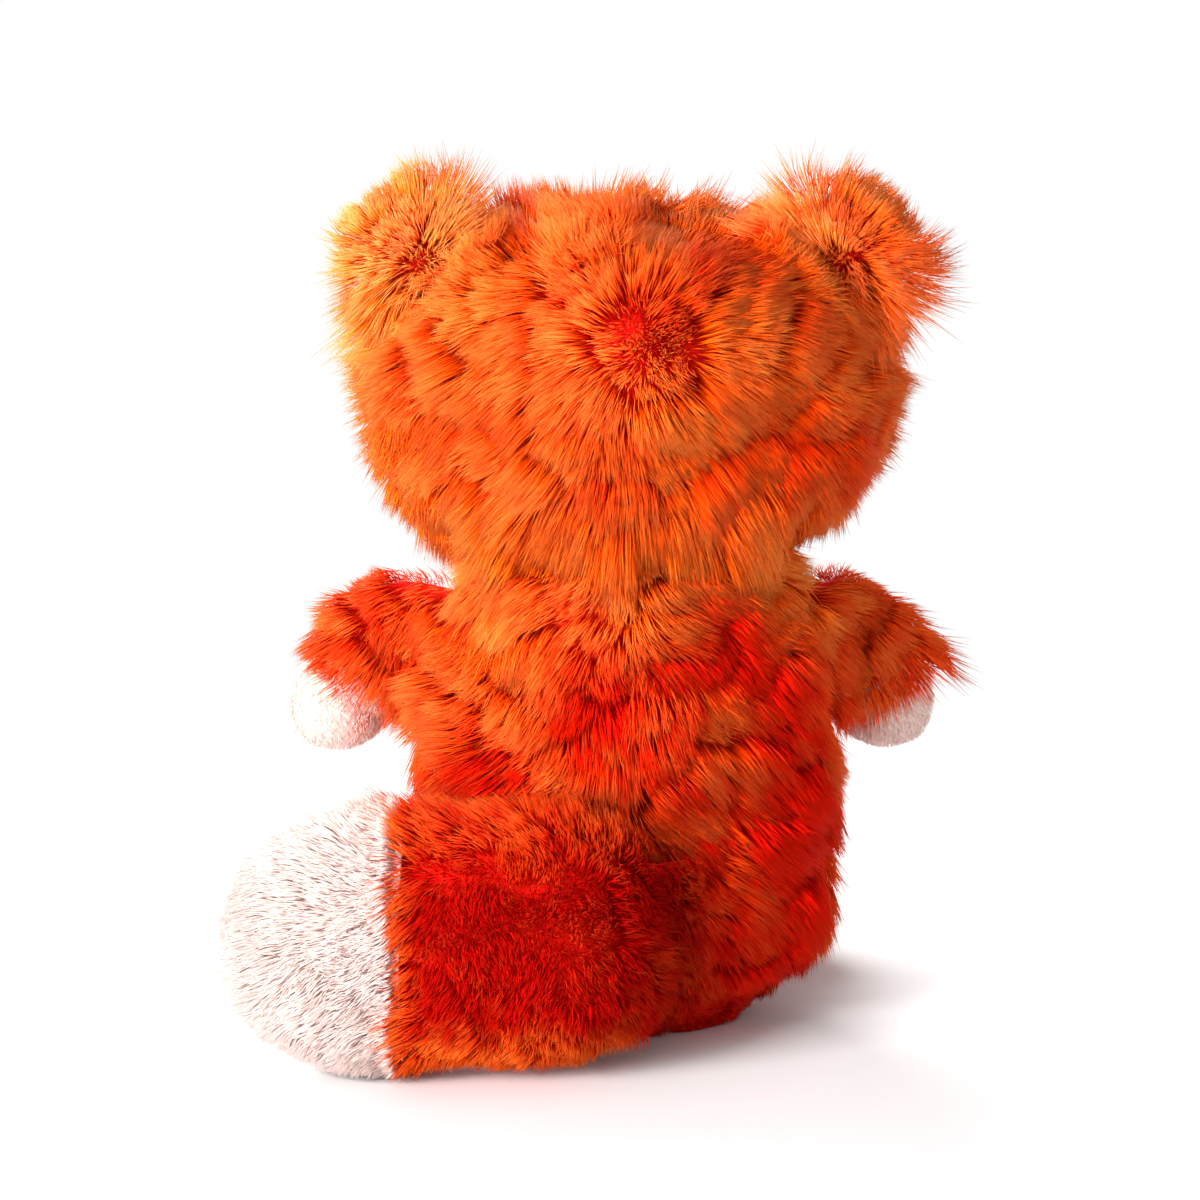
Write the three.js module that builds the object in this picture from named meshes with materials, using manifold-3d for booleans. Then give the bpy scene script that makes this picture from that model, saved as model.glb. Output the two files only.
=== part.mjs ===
// Sitting plush red panda dog toy: sewn long-pile skins over fibrefill, with a squeaker in the body.
// Millimetres, +Z up. The toy faces -Y and sits on Z = 0; the origin is the middle of its flat seat.
// Plush walls run from the fabric backing to about half the height of the pile.
import * as THREE from "three";
import { mergeVertices } from "three/addons/utils/BufferGeometryUtils.js";
import Module from "manifold-3d";

const wasm = await Module();
wasm.setup();

// Driving dimensions: fabric
const GAP = 0.3; // clearance between neighbouring pieces
const PLUSH_WALL = 7; // long-pile wall of the head, body and tail
const LIMB_WALL = 5; // wall of the arms and legs
const SEAM_EDGE = 2.5; // rounding of the pinched edge where a limb is sewn on
const REST_CUT = 0.5; // depth of the flat that a resting limb gets from the ground

// Driving dimensions: body, as radii at heights measured up from one to the next
const SEAT_RADIUS = 26;
const HIP_RADIUS = 38.5;
const BELLY_RADIUS = 42;
const CHEST_RADIUS = 40;
const NECK_RADIUS = 32;
const SEAT_TO_HIP = 15;
const HIP_TO_BELLY = 27;
const BELLY_TO_CHEST = 35;
const CHEST_TO_NECK = 23;
const BODY_FLATTEN = 0.86; // depth over width
const BELLY_PANEL_WIDTH = 46;
const BELLY_PANEL_HEIGHT = 58;
const BELLY_PANEL_DROP = 50; // from the neck down to the panel's middle

// Driving dimensions: head
const HEAD_WIDTH = 105;
const HEAD_DEPTH = 80;
const HEAD_HEIGHT = 74;
const HEAD_SINK = 7; // how far the round head would dip below the neck seam
const HEAD_SQUARENESS = 2.5; // 2 is an ellipse, higher is boxier

// Driving dimensions: face
const MUZZLE_WIDTH = 40;
const MUZZLE_HEIGHT = 27;
const MUZZLE_DEPTH = 26;
const MUZZLE_DROP = 11; // below the middle of the head
const NOSE_WIDTH = 13;
const NOSE_HEIGHT = 9;
const NOSE_DEPTH = 8;
const EYE_DIAMETER = 11;
const EYE_DEPTH = 6;
const EYE_SPACING = 39;
const EYE_RISE = 4; // above the middle of the head
const CHEEK_WIDTH = 26;
const CHEEK_HEIGHT = 30;
const CHEEK_PROUD = 5; // how far a cheek pad stands out of the head
const CHEEK_INSET = 23.5; // from the side of the head to the middle of a cheek
const CHEEK_DROP = 13;

// Driving dimensions: ears
const EAR_WIDTH = 33;
const EAR_REACH = 18.5; // out of the head
const EAR_THICKNESS = 10;
const EAR_LINING_THICKNESS = 4; // the front share of that thickness
const EAR_SETBACK = 3; // behind the middle of the head
const EAR_SEAT_ANGLE = 33; // degrees above the horizontal, of the seam on the head

// Driving dimensions: arms
const SHOULDER_DROP = 23; // below the neck
const ARM_REACH = 17.5; // out from the shoulder
const ARM_DROP = 30; // the paw's end below the shoulder
const ARM_SEAM_HEIGHT = 29;
const SLEEVE_HEIGHT = 31;
const SLEEVE_THICKNESS = 25;
const SLEEVE_LENGTH = 21; // along the arm, from the seam to the cuff
const PAW_DIAMETER = 21;
const SHOULDER_TURN = 17; // degrees round the body, forward of its side
const LEFT_ARM_YAW = 2; // degrees forward of straight out
const RIGHT_ARM_YAW = 38;

// Driving dimensions: legs
const LEG_SPACING = 36;
const LEG_LENGTH = 46;
const LEG_SEAM_WIDTH = 16;
const LEG_WIDTH = 27;
const LEG_HEIGHT = 28;
const FOOT_WIDTH = 30;
const LEG_SLEEVE_LENGTH = 27;
const LEG_SPLAY = 14; // degrees outward

// Driving dimensions: tail
const TAIL_HEIGHT = 54;
const TAIL_THICKNESS = 43;
const TAIL_SEAM_HEIGHT = 38;
const TAIL_SETOFF = -5; // the seam, beside the middle of the back
const TAIL_LEAVE_ANGLE = 52; // degrees from straight back towards the side
const TAIL_LEAVE_LENGTH = 24; // before it has turned to the side
const TAIL_REACH = 84; // sideways, from the seam to the tip
const TAIL_TRAIL = 4; // how far back the tip lies behind the seam
const TAIL_SLEEVE_LENGTH = 53; // along the tail, from the seam to the pale tip

// Driving dimensions: squeaker
const BULB_DIAMETER = 40;
const BULB_HEIGHT = 28;
const BULB_WALL = 1.4;
const BULB_DROP = 52; // below the neck
const MOUTH_RADIUS = 6;
const MOUTH_HEIGHT = 4; // of the mouth's collar above the bulb
const HOLDER_FLANGE_RADIUS = 8;
const HOLDER_FLANGE = 1.6;
const HOLDER_LENGTH = 9;
const HOLDER_WALL = 1.3;
const REED_THICKNESS = 0.6;
const REED_LENGTH = 6;

// Driving dimensions: the broad locks that the pile falls into on the back and sides
const LOCK_HOLLOW = 2.4; // depth between locks
const LOCK_PITCH = 15; // from one row of locks up to the next, which is staggered
const LOCK_SWAY = 0.9; // radians by which the rows wander
const HEAD_LOCKS = 10; // in a row round the head
const BODY_LOCKS = 8;
const LOCK_START = -0.35; // where they begin, as a share of the depth behind the middle
const LOCK_FULL = 0.25; // where they have their full depth
const LOCK_FADE = 12; // from a seam to their full depth

// Facets
const BODY_SIDES = 24;
const LOCK_SIDES = 4; // round each lock
const LOCK_STEPS = 18; // from foot to top of a form with locks
const LIMB_SIDES = 14;
const TAIL_SIDES = 18;
const ROUND_STEPS = 9;

const UP = new THREE.Vector3(0, 0, 1);
const ACROSS = new THREE.Vector3(1, 0, 0);
const BACK = new THREE.Vector3(0, 1, 0);
const FRONT = new THREE.Vector3(0, -1, 0);
const LEFT = 1;
const RIGHT = -1;
const radians = THREE.MathUtils.degToRad;

// Solids

// A closed geometry as a solid for joining and cutting.
function solidOf(geometry) {
  const bare = geometry.clone();
  bare.deleteAttribute("normal");
  bare.deleteAttribute("uv");
  const merged = mergeVertices(bare, 1e-4);
  const corners = merged.index.array;
  const triVerts = [];
  for (let i = 0; i < corners.length; i += 3) {
    const [a, b, c] = corners.slice(i, i + 3);
    if (a !== b && b !== c && c !== a) {
      triVerts.push(a, b, c);
    }
  }
  return new wasm.Manifold(
    new wasm.Mesh({
      numProp: 3,
      vertProperties: new Float32Array(merged.attributes.position.array),
      triVerts: new Uint32Array(triVerts),
    }),
  );
}

function geometryOf(solid) {
  const { vertProperties, triVerts } = solid.getMesh();
  const geometry = new THREE.BufferGeometry();
  geometry.setAttribute("position", new THREE.BufferAttribute(new Float32Array(vertProperties), 3));
  geometry.setIndex(new THREE.BufferAttribute(new Uint32Array(triVerts), 1));
  geometry.computeVertexNormals();
  return geometry;
}

// A skin through elliptical sections, closed flat at both ends.
// Each section has its centre, two unit directions u and v, and the half sizes a and b along them.
// The hollow tells how far the skin is drawn in, at a turn round the section and a height.
function loft(sections, sides, hollow = () => 0) {
  const points = [];
  for (const { centre, u, v, a, b } of sections) {
    for (let k = 0; k < sides; k++) {
      const turn = (2 * Math.PI * k) / sides;
      const dip = hollow(turn, centre.z);
      const point = centre.clone().addScaledVector(u, (a - dip) * Math.cos(turn));
      points.push(point.addScaledVector(v, (b - dip) * Math.sin(turn)));
    }
  }
  const first = sections[0];
  const last = sections[sections.length - 1];
  const firstPole = points.push(first.centre) - 1;
  const lastPole = points.push(last.centre) - 1;
  const triangles = [];
  for (let k = 0; k < sides; k++) {
    const next = (k + 1) % sides;
    for (let ring = 0; ring < sections.length - 1; ring++) {
      const low = ring * sides;
      const high = low + sides;
      triangles.push([low + k, low + next, high + next], [low + k, high + next, high + k]);
    }
    const end = (sections.length - 1) * sides;
    triangles.push([firstPole, next, k], [lastPole, end + k, end + next]);
  }
  const along = last.centre.clone().sub(first.centre);
  const mirrored = new THREE.Vector3().crossVectors(first.u, first.v).dot(along) < 0;
  const geometry = new THREE.BufferGeometry().setFromPoints(points);
  geometry.setIndex(triangles.flatMap(([i, j, k]) => (mirrored ? [i, k, j] : [i, j, k])));
  return solidOf(geometry);
}

function ellipsoid(centre, width, depth, height) {
  const geometry = new THREE.SphereGeometry(0.5, LIMB_SIDES, ROUND_STEPS);
  geometry.rotateX(Math.PI / 2).scale(width, depth, height);
  return solidOf(geometry.translate(centre.x, centre.y, centre.z));
}

function box(low, high) {
  const size = high.clone().sub(low);
  const geometry = new THREE.BoxGeometry(size.x, size.y, size.z);
  const middle = low.clone().add(high).multiplyScalar(0.5);
  return solidOf(geometry.translate(middle.x, middle.y, middle.z));
}

// A turned solid about +Z from a closed list of [radius, height] points.
function turned(outline, sides) {
  const profile = outline.map(([radius, height]) => new THREE.Vector2(radius, height));
  return solidOf(new THREE.LatheGeometry([...profile, profile[0]], sides).rotateX(Math.PI / 2));
}

// How far the pile dips between its broad locks: staggered rows that wander, none on the front.
function lockHollow(turn, height, locks, crestHeight) {
  const row = (Math.PI * (height - crestHeight)) / LOCK_PITCH;
  const across = Math.cos(locks * turn + LOCK_SWAY * Math.sin(row / 2 + 2 * turn));
  const crest = across * Math.cos(row + LOCK_SWAY * Math.sin(3 * turn));
  const behind = THREE.MathUtils.smoothstep(Math.sin(turn), LOCK_START, LOCK_FULL);
  return (LOCK_HOLLOW / 2) * (1 - crest) * behind;
}

// Body: a barrel whose radius follows one smooth curve from the seat to the neck.

const HIP_Z = SEAT_TO_HIP;
const BELLY_Z = HIP_Z + HIP_TO_BELLY;
const CHEST_Z = BELLY_Z + BELLY_TO_CHEST;
const NECK_Z = CHEST_Z + CHEST_TO_NECK;
const FAR = 4 * NECK_Z; // beyond every piece, for cutting planes

const bodyCurve = new THREE.SplineCurve([
  new THREE.Vector2(SEAT_RADIUS, 0),
  new THREE.Vector2(HIP_RADIUS, HIP_Z),
  new THREE.Vector2(BELLY_RADIUS, BELLY_Z),
  new THREE.Vector2(CHEST_RADIUS, CHEST_Z),
  new THREE.Vector2(NECK_RADIUS, NECK_Z),
]);
const bodyProfile = bodyCurve.getPoints(LOCK_STEPS);

function bodyRadiusAt(height) {
  const above = bodyProfile.findIndex((point, i) => i > 0 && point.y >= height);
  const high = bodyProfile[above];
  const low = bodyProfile[above - 1];
  return THREE.MathUtils.mapLinear(height, low.y, high.y, low.x, high.x);
}

// The lean of the body's side at a height: how fast its radius grows upward.
function bodySlopeAt(height) {
  const step = 2;
  return (bodyRadiusAt(height + step) - bodyRadiusAt(height - step)) / (2 * step);
}

// How far the body's back or front stands from its middle, at a place beside it.
function bodyDepthAt(beside, height) {
  const radius = bodyRadiusAt(height);
  return radius * BODY_FLATTEN * Math.sqrt(1 - (beside / radius) ** 2);
}

// The body's locks have a crest just below the shoulders and fade out at the neck and the tail.
function bodyHollow(turn, height) {
  const crestHeight = NECK_Z - SHOULDER_DROP - LOCK_PITCH;
  const low = THREE.MathUtils.smoothstep(height, TAIL_HEIGHT / 2, TAIL_HEIGHT);
  const high = THREE.MathUtils.smoothstep(NECK_Z - height, 0, LOCK_FADE);
  return lockHollow(turn, height, BODY_LOCKS, crestHeight) * low * high;
}

// The body's form drawn in by an inset on its sides and from its seat, up through the neck.
function bodyForm(inset, throughNeck = 0, hollow = undefined) {
  const profile = inset > 0 ? bodyCurve.getPoints(ROUND_STEPS) : bodyProfile;
  const sectionAt = (radius, height) => ({
    centre: new THREE.Vector3(0, 0, height),
    u: ACROSS,
    v: BACK,
    a: radius - inset,
    b: radius * BODY_FLATTEN - inset,
  });
  const sections = profile.map(({ x, y }) => {
    return sectionAt(x, THREE.MathUtils.mapLinear(y, 0, NECK_Z, inset, NECK_Z));
  });
  if (throughNeck > 0) {
    sections.push(sectionAt(NECK_RADIUS, NECK_Z + throughNeck));
  }
  return loft(sections, inset > 0 ? BODY_SIDES : BODY_LOCKS * LOCK_SIDES, hollow);
}

// Head: a boxy puff, cut flat where it is sewn to the neck.

const HEAD_Z = NECK_Z - HEAD_SINK + HEAD_HEIGHT / 2; // middle of the head
const HEAD_SEAM_Z = NECK_Z + GAP;

// The share of its full width that the head has at a share of its half height.
function headSwell(share) {
  return (1 - Math.abs(share) ** HEAD_SQUARENESS) ** (1 / HEAD_SQUARENESS);
}

// Where the ears are sewn to the head's upper corners, as shares of its half width and half height.
const EAR_SEAT_RISE = (() => {
  const slant = (Math.tan(radians(EAR_SEAT_ANGLE)) * HEAD_WIDTH) / HEAD_HEIGHT;
  return slant / (1 + slant ** HEAD_SQUARENESS) ** (1 / HEAD_SQUARENESS);
})();
const EAR_SEAT_ACROSS = headSwell(EAR_SEAT_RISE);

// The head's locks have a crest at the ears and fade out at the neck and the crown.
function headHollow(turn, height) {
  const half = HEAD_HEIGHT / 2;
  const low = THREE.MathUtils.smoothstep(height - HEAD_SEAM_Z, 0, LOCK_FADE);
  const swell = headSwell((height - HEAD_Z) / half);
  return lockHollow(turn, height, HEAD_LOCKS, HEAD_Z + EAR_SEAT_RISE * half) * low * swell;
}

// The head's form drawn in by an inset.
function headForm(inset, hollow = undefined) {
  const rings = inset > 0 ? ROUND_STEPS + 3 : LOCK_STEPS;
  const shares = Array.from({ length: rings - 1 }, (_, i) => -Math.cos((Math.PI * (i + 1)) / rings));
  shares.push(EAR_SEAT_RISE);
  shares.sort((low, high) => low - high);
  const sections = shares.map((share) => ({
    centre: new THREE.Vector3(0, 0, HEAD_Z + (HEAD_HEIGHT / 2 - inset) * share),
    u: ACROSS,
    v: BACK,
    a: (HEAD_WIDTH / 2 - inset) * headSwell(share),
    b: (HEAD_DEPTH / 2 - inset) * headSwell(share),
  }));
  return loft(sections, inset > 0 ? BODY_SIDES : HEAD_LOCKS * LOCK_SIDES, hollow);
}

// How far the head's face stands from its middle, at a place on it.
function headDepthAt(beside, height) {
  const swell = headSwell((height - HEAD_Z) / (HEAD_HEIGHT / 2));
  return (HEAD_DEPTH / 2) * swell * Math.sqrt(1 - (beside / ((HEAD_WIDTH / 2) * swell)) ** 2);
}

function above(height) {
  return box(new THREE.Vector3(-FAR, -FAR, height), new THREE.Vector3(FAR, FAR, FAR));
}

const ground = box(new THREE.Vector3(-FAR, -FAR, -FAR), new THREE.Vector3(FAR, FAR, 0));
const headWithGap = headForm(-GAP);

// Limbs: a stuffed tube along a curve, pinched to an edge at its seam and round at its tip.

// Half a size that grows from the seam on and keeps its full value beyond the swell length.
function swelling(distance, seam, full, swell) {
  const share = THREE.MathUtils.clamp((distance - SEAM_EDGE) / swell, 0, 1);
  return THREE.MathUtils.lerp(seam, full, Math.sin((Math.PI / 2) * share));
}

// Half a size that changes from one value to another just before a cuff.
function changing(distance, before, after, cuff) {
  return THREE.MathUtils.lerp(before, after, THREE.MathUtils.smoothstep(distance, cuff / 2, cuff));
}

// The rounding of an end: 1 along the length and 0 at the end itself.
function rounding(distance, reach) {
  const share = THREE.MathUtils.clamp(1 - distance / reach, 0, 1);
  return Math.sqrt(1 - share * share);
}

class Limb {
  // path is the middle line and steady a unit direction square to it all along.
  // steadySize and otherSize give half sizes along and across that direction, by distance.
  constructor({ path, steady, steadySize, otherSize, tipReach, sides }) {
    Object.assign(this, { path, steady, steadySize, otherSize, tipReach, sides });
    this.length = path.getLength();
    const edge = [0.05, 0.3, 1].map((share) => share * SEAM_EDGE);
    const run = Array.from({ length: ROUND_STEPS }, (_, i) => {
      const share = Math.sin((Math.PI / 2) * ((i + 1) / ROUND_STEPS));
      return THREE.MathUtils.lerp(SEAM_EDGE, this.length, share);
    });
    this.stations = [...edge, ...run];
  }

  section(distance, inset) {
    const share = THREE.MathUtils.clamp(distance / this.length, 0, 1);
    const along = this.path.getTangentAt(share);
    const tip = rounding(this.length - distance, this.tipReach);
    return {
      centre: this.path.getPointAt(share),
      u: this.steady,
      v: new THREE.Vector3().crossVectors(along, this.steady).normalize(),
      a: this.steadySize(distance) * tip - inset,
      b: this.otherSize(distance) * tip - inset,
    };
  }

  // The stretch between two distances, drawn in by an inset and ended where it gets too slim.
  stretch(from, to, inset = 0, slimmest = GAP) {
    const ends = [from, to].filter((at) => at > 0 && at < this.length);
    const inside = this.stations.filter((at) => {
      return at > from && at < to && ends.every((end) => Math.abs(at - end) > GAP);
    });
    const distances = [...inside, ...ends].sort((one, other) => one - other);
    const sections = distances.map((distance) => this.section(distance, inset));
    return loft(sections.filter(({ a, b }) => Math.min(a, b) > slimmest), this.sides);
  }

  // The sewn skin from the seam to the cuff, open at the cuff and shaped by the body beside it.
  sleeve(cuff, wall) {
    const skin = this.stretch(0, cuff).subtract(bodyForm(-GAP));
    const space = this.stretch(0, cuff + wall, wall).subtract(bodyForm(-GAP - wall));
    return skin.subtract(space);
  }

  // The skin of the end piece, open at the cuff and closed at the tip.
  cap(cuff, wall) {
    const skin = this.stretch(cuff + GAP, this.length).subtract(bodyForm(-GAP));
    return skin.subtract(this.stretch(cuff - wall, this.length, wall));
  }

  filling(wall) {
    const wad = this.stretch(0, this.length, wall + GAP, SEAM_EDGE);
    return wad.subtract(bodyForm(-GAP - wall - GAP));
  }
}

// Half the thickness of a limb that is sewn on along a pinched edge.
function pinched(distance, full, swell) {
  return swelling(distance, SEAM_EDGE, full, swell) * rounding(distance, SEAM_EDGE);
}

// Arms: sewn to the side seam along an edge that follows the lean of the body's side.

const SHOULDER_Z = NECK_Z - SHOULDER_DROP;

function armOf(side, yaw) {
  const radius = bodyRadiusAt(SHOULDER_Z);
  const slope = bodySlopeAt(SHOULDER_Z);
  const beside = side * Math.cos(radians(SHOULDER_TURN));
  const forward = -BODY_FLATTEN * Math.sin(radians(SHOULDER_TURN));
  const seamWay = new THREE.Vector3(beside * slope, forward * slope, 1).normalize();
  const aroundBody = new THREE.Vector3(-forward / BODY_FLATTEN, beside * BODY_FLATTEN, 0);
  const straightOut = new THREE.Vector3().crossVectors(aroundBody, seamWay).normalize();
  const out = straightOut.clone().applyAxisAngle(seamWay, -side * radians(yaw));
  const pivot = new THREE.Vector3(beside * radius, forward * radius, SHOULDER_Z);
  pivot.addScaledVector(straightOut, SEAM_EDGE + GAP);
  const start = pivot.clone().addScaledVector(out, -SEAM_EDGE);
  const elbow = pivot.clone().addScaledVector(out, ARM_REACH);
  const end = elbow.clone().addScaledVector(seamWay, -ARM_DROP);
  const limb = new Limb({
    path: new THREE.QuadraticBezierCurve3(start, elbow, end),
    steady: new THREE.Vector3().crossVectors(seamWay, out),
    steadySize: (distance) => {
      const sleeve = pinched(distance, SLEEVE_THICKNESS / 2, SLEEVE_LENGTH);
      return changing(distance, sleeve, PAW_DIAMETER / 2, SLEEVE_LENGTH);
    },
    otherSize: (distance) => {
      const sleeve = swelling(distance, ARM_SEAM_HEIGHT / 2, SLEEVE_HEIGHT / 2, SLEEVE_LENGTH);
      return changing(distance, sleeve, PAW_DIAMETER / 2, SLEEVE_LENGTH);
    },
    tipReach: PAW_DIAMETER / 2,
    sides: LIMB_SIDES,
  });
  return { limb, pivot, hinge: seamWay.multiplyScalar(-side) };
}

// Legs: sewn across the front of the hips, lying forward on the ground.

function legOf(side) {
  const root = LEG_HEIGHT / 2 - REST_CUT;
  const out = FRONT.clone().applyAxisAngle(UP, side * radians(LEG_SPLAY));
  const beside = (side * LEG_SPACING) / 2;
  const pivot = new THREE.Vector3(beside, -bodyDepthAt(beside, root), root);
  pivot.addScaledVector(out, SEAM_EDGE + GAP);
  const start = pivot.clone().addScaledVector(out, -SEAM_EDGE);
  const end = start.clone().addScaledVector(out, LEG_LENGTH);
  const limb = new Limb({
    path: new THREE.LineCurve3(start, end),
    steady: UP,
    steadySize: (distance) => pinched(distance, LEG_HEIGHT / 2, LEG_SLEEVE_LENGTH),
    otherSize: (distance) => {
      const sleeve = swelling(distance, LEG_SEAM_WIDTH / 2, LEG_WIDTH / 2, LEG_SLEEVE_LENGTH);
      return changing(distance, sleeve, FOOT_WIDTH / 2, LEG_SLEEVE_LENGTH);
    },
    tipReach: LEG_LENGTH - LEG_SLEEVE_LENGTH,
    sides: LIMB_SIDES,
  });
  return { limb, pivot, hinge: new THREE.Vector3().crossVectors(out, UP) };
}

// Tail: sewn upright to the small of the back and curled round to the left side.

function tailOf() {
  const middle = TAIL_HEIGHT / 2 - REST_CUT;
  const out = BACK.clone().applyAxisAngle(UP, -radians(TAIL_LEAVE_ANGLE));
  const pivot = new THREE.Vector3(TAIL_SETOFF, bodyDepthAt(TAIL_SETOFF, middle), middle);
  pivot.addScaledVector(BACK, SEAM_EDGE + 2 * GAP);
  const start = pivot.clone().addScaledVector(out, -SEAM_EDGE);
  const turn = pivot.clone().addScaledVector(out, TAIL_LEAVE_LENGTH);
  const tip = pivot.clone().addScaledVector(ACROSS, TAIL_REACH).addScaledVector(BACK, TAIL_TRAIL);
  const limb = new Limb({
    path: new THREE.QuadraticBezierCurve3(start, turn, tip),
    steady: UP,
    steadySize: (distance) => swelling(distance, TAIL_SEAM_HEIGHT / 2, TAIL_HEIGHT / 2, TAIL_HEIGHT / 2),
    otherSize: (distance) => pinched(distance, TAIL_THICKNESS / 2, TAIL_THICKNESS / 2),
    tipReach: TAIL_HEIGHT / 2,
    sides: TAIL_SIDES,
  });
  return { limb, pivot, hinge: UP };
}

// Ears: round pads, sewn along a straight edge square to the head's upper corner.

function earOf(side) {
  const halfWidth = HEAD_WIDTH / 2;
  const halfHeight = HEAD_HEIGHT / 2;
  const out = new THREE.Vector3(
    (side * EAR_SEAT_ACROSS ** (HEAD_SQUARENESS - 1)) / halfWidth,
    0,
    EAR_SEAT_RISE ** (HEAD_SQUARENESS - 1) / halfHeight,
  ).normalize();
  const pivot = new THREE.Vector3(
    side * EAR_SEAT_ACROSS * halfWidth,
    EAR_SETBACK,
    HEAD_Z + EAR_SEAT_RISE * halfHeight,
  );
  pivot.addScaledVector(out, SEAM_EDGE + GAP);
  const start = pivot.clone().addScaledVector(out, -SEAM_EDGE);
  const end = start.clone().addScaledVector(out, EAR_REACH);
  const discMiddle = EAR_REACH - EAR_WIDTH / 2;
  const limb = new Limb({
    path: new THREE.LineCurve3(start, end),
    steady: BACK,
    steadySize: (distance) => pinched(distance, EAR_THICKNESS / 2, EAR_REACH / 3),
    otherSize: (distance) => {
      const offset = Math.min(distance - discMiddle, 0) / (EAR_WIDTH / 2);
      return (EAR_WIDTH / 2) * Math.sqrt(1 - offset * offset);
    },
    tipReach: EAR_WIDTH / 2,
    sides: LIMB_SIDES,
  });
  return { limb, pivot, hinge: new THREE.Vector3().crossVectors(out, BACK) };
}

// Assembly: one group for each piece that moves, placed at its seam.

const finishes = {
  orangePlush: new THREE.MeshStandardMaterial({ color: 0xe8571c, roughness: 1 }),
  palePlush: new THREE.MeshStandardMaterial({ color: 0xf3e6e0, roughness: 1 }),
  fibrefill: new THREE.MeshStandardMaterial({ color: 0xfafafa, roughness: 1 }),
  darkThread: new THREE.MeshStandardMaterial({ color: 0x241a18, roughness: 0.6 }),
  bulbPlastic: new THREE.MeshStandardMaterial({ color: 0xf2f2ee, roughness: 0.5 }),
  reedPlastic: new THREE.MeshStandardMaterial({ color: 0xd8dadc, roughness: 0.4 }),
};

const toy = new THREE.Group();
toy.name = "red_panda_toy";

// A moving piece's group, standing at the middle of its seam and turning about the seam's line.
function assembly(name, parent, pivot, hinge) {
  const group = new THREE.Group();
  group.name = name;
  group.userData.seam = pivot;
  group.userData.hinge = hinge;
  group.position.copy(pivot).sub(parent.userData.seam);
  parent.add(group);
  return group;
}

function add(group, name, solid, material) {
  const seam = group.userData.seam;
  const geometry = geometryOf(solid).translate(-seam.x, -seam.y, -seam.z);
  const mesh = new THREE.Mesh(geometry, material);
  mesh.name = name;
  group.add(mesh);
}

toy.userData.seam = new THREE.Vector3();
const body = assembly("body", toy, new THREE.Vector3(), UP);
const head = assembly("head", body, new THREE.Vector3(0, 0, NECK_Z), UP);

// Body skin with its belly panel let in
const bellyWindow = (grow) => {
  const middle = new THREE.Vector3(0, 0, NECK_Z - BELLY_PANEL_DROP);
  const outline = { u: ACROSS, v: UP, a: BELLY_PANEL_WIDTH / 2 + grow, b: BELLY_PANEL_HEIGHT / 2 + grow };
  const far = middle.clone().addScaledVector(FRONT, FAR);
  return loft([{ centre: middle, ...outline }, { centre: far, ...outline }], BODY_SIDES);
};
const bodySkin = bodyForm(0, 0, bodyHollow).subtract(bodyForm(PLUSH_WALL, PLUSH_WALL));
add(body, "body_shell", bodySkin.subtract(bellyWindow(GAP / 2)), finishes.orangePlush);
add(body, "belly_panel", bodySkin.intersect(bellyWindow(-GAP / 2)), finishes.palePlush);

// Squeaker, standing in the middle of the body with its mouth up
const BULB_Z = NECK_Z - BULB_DROP;

// The round side of the bulb from its foot up to the collar of its mouth.
function bulbSide(inset, mouth) {
  const half = BULB_DIAMETER / 2 - inset;
  const tall = BULB_HEIGHT / 2 - inset;
  const end = Math.acos(mouth / half);
  return Array.from({ length: ROUND_STEPS + 1 }, (_, i) => {
    const turn = THREE.MathUtils.lerp(-Math.PI / 2, end, i / ROUND_STEPS);
    return [i === 0 ? 0 : half * Math.cos(turn), BULB_Z + tall * Math.sin(turn)];
  });
}

const bulbOuter = bulbSide(0, MOUTH_RADIUS);
const COLLAR_Z = bulbOuter[ROUND_STEPS][1] + MOUTH_HEIGHT;
const MOUTH_BORE = MOUTH_RADIUS - BULB_WALL;
const bulb = turned(
  [...bulbOuter, [MOUTH_RADIUS, COLLAR_Z], [MOUTH_BORE, COLLAR_Z], ...bulbSide(BULB_WALL, MOUTH_BORE).reverse()],
  LIMB_SIDES,
);
add(body, "squeaker_bulb", bulb, finishes.bulbPlastic);

const PLUG_RADIUS = MOUTH_BORE - GAP;
const HOLDER_BORE = PLUG_RADIUS - HOLDER_WALL;
const FLANGE_Z = COLLAR_Z + GAP;
const HOLDER_TOP = FLANGE_Z + HOLDER_FLANGE;
const PLUG_FOOT = FLANGE_Z - HOLDER_LENGTH;
const holderTube = turned(
  [
    [HOLDER_BORE, PLUG_FOOT],
    [PLUG_RADIUS, PLUG_FOOT],
    [PLUG_RADIUS, FLANGE_Z],
    [HOLDER_FLANGE_RADIUS, FLANGE_Z],
    [HOLDER_FLANGE_RADIUS, HOLDER_TOP],
    [HOLDER_BORE, HOLDER_TOP],
  ],
  LIMB_SIDES,
);
// The reed lies on a half-round deck across the holder's bore.
const DECK_TOP = PLUG_FOOT + REED_LENGTH;
const deckRound = turned(
  [
    [0, PLUG_FOOT],
    [PLUG_RADIUS - HOLDER_WALL / 2, PLUG_FOOT],
    [PLUG_RADIUS - HOLDER_WALL / 2, DECK_TOP],
    [0, DECK_TOP],
  ],
  LIMB_SIDES,
);
const frontHalf = (plane) => box(new THREE.Vector3(-FAR, -FAR, -FAR), new THREE.Vector3(FAR, plane, FAR));
const backHalf = (plane) => box(new THREE.Vector3(-FAR, plane, -FAR), new THREE.Vector3(FAR, FAR, FAR));
const deck = deckRound.intersect(frontHalf(0));
add(body, "squeaker_reed_holder", holderTube.add(deck), finishes.bulbPlastic);

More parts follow.
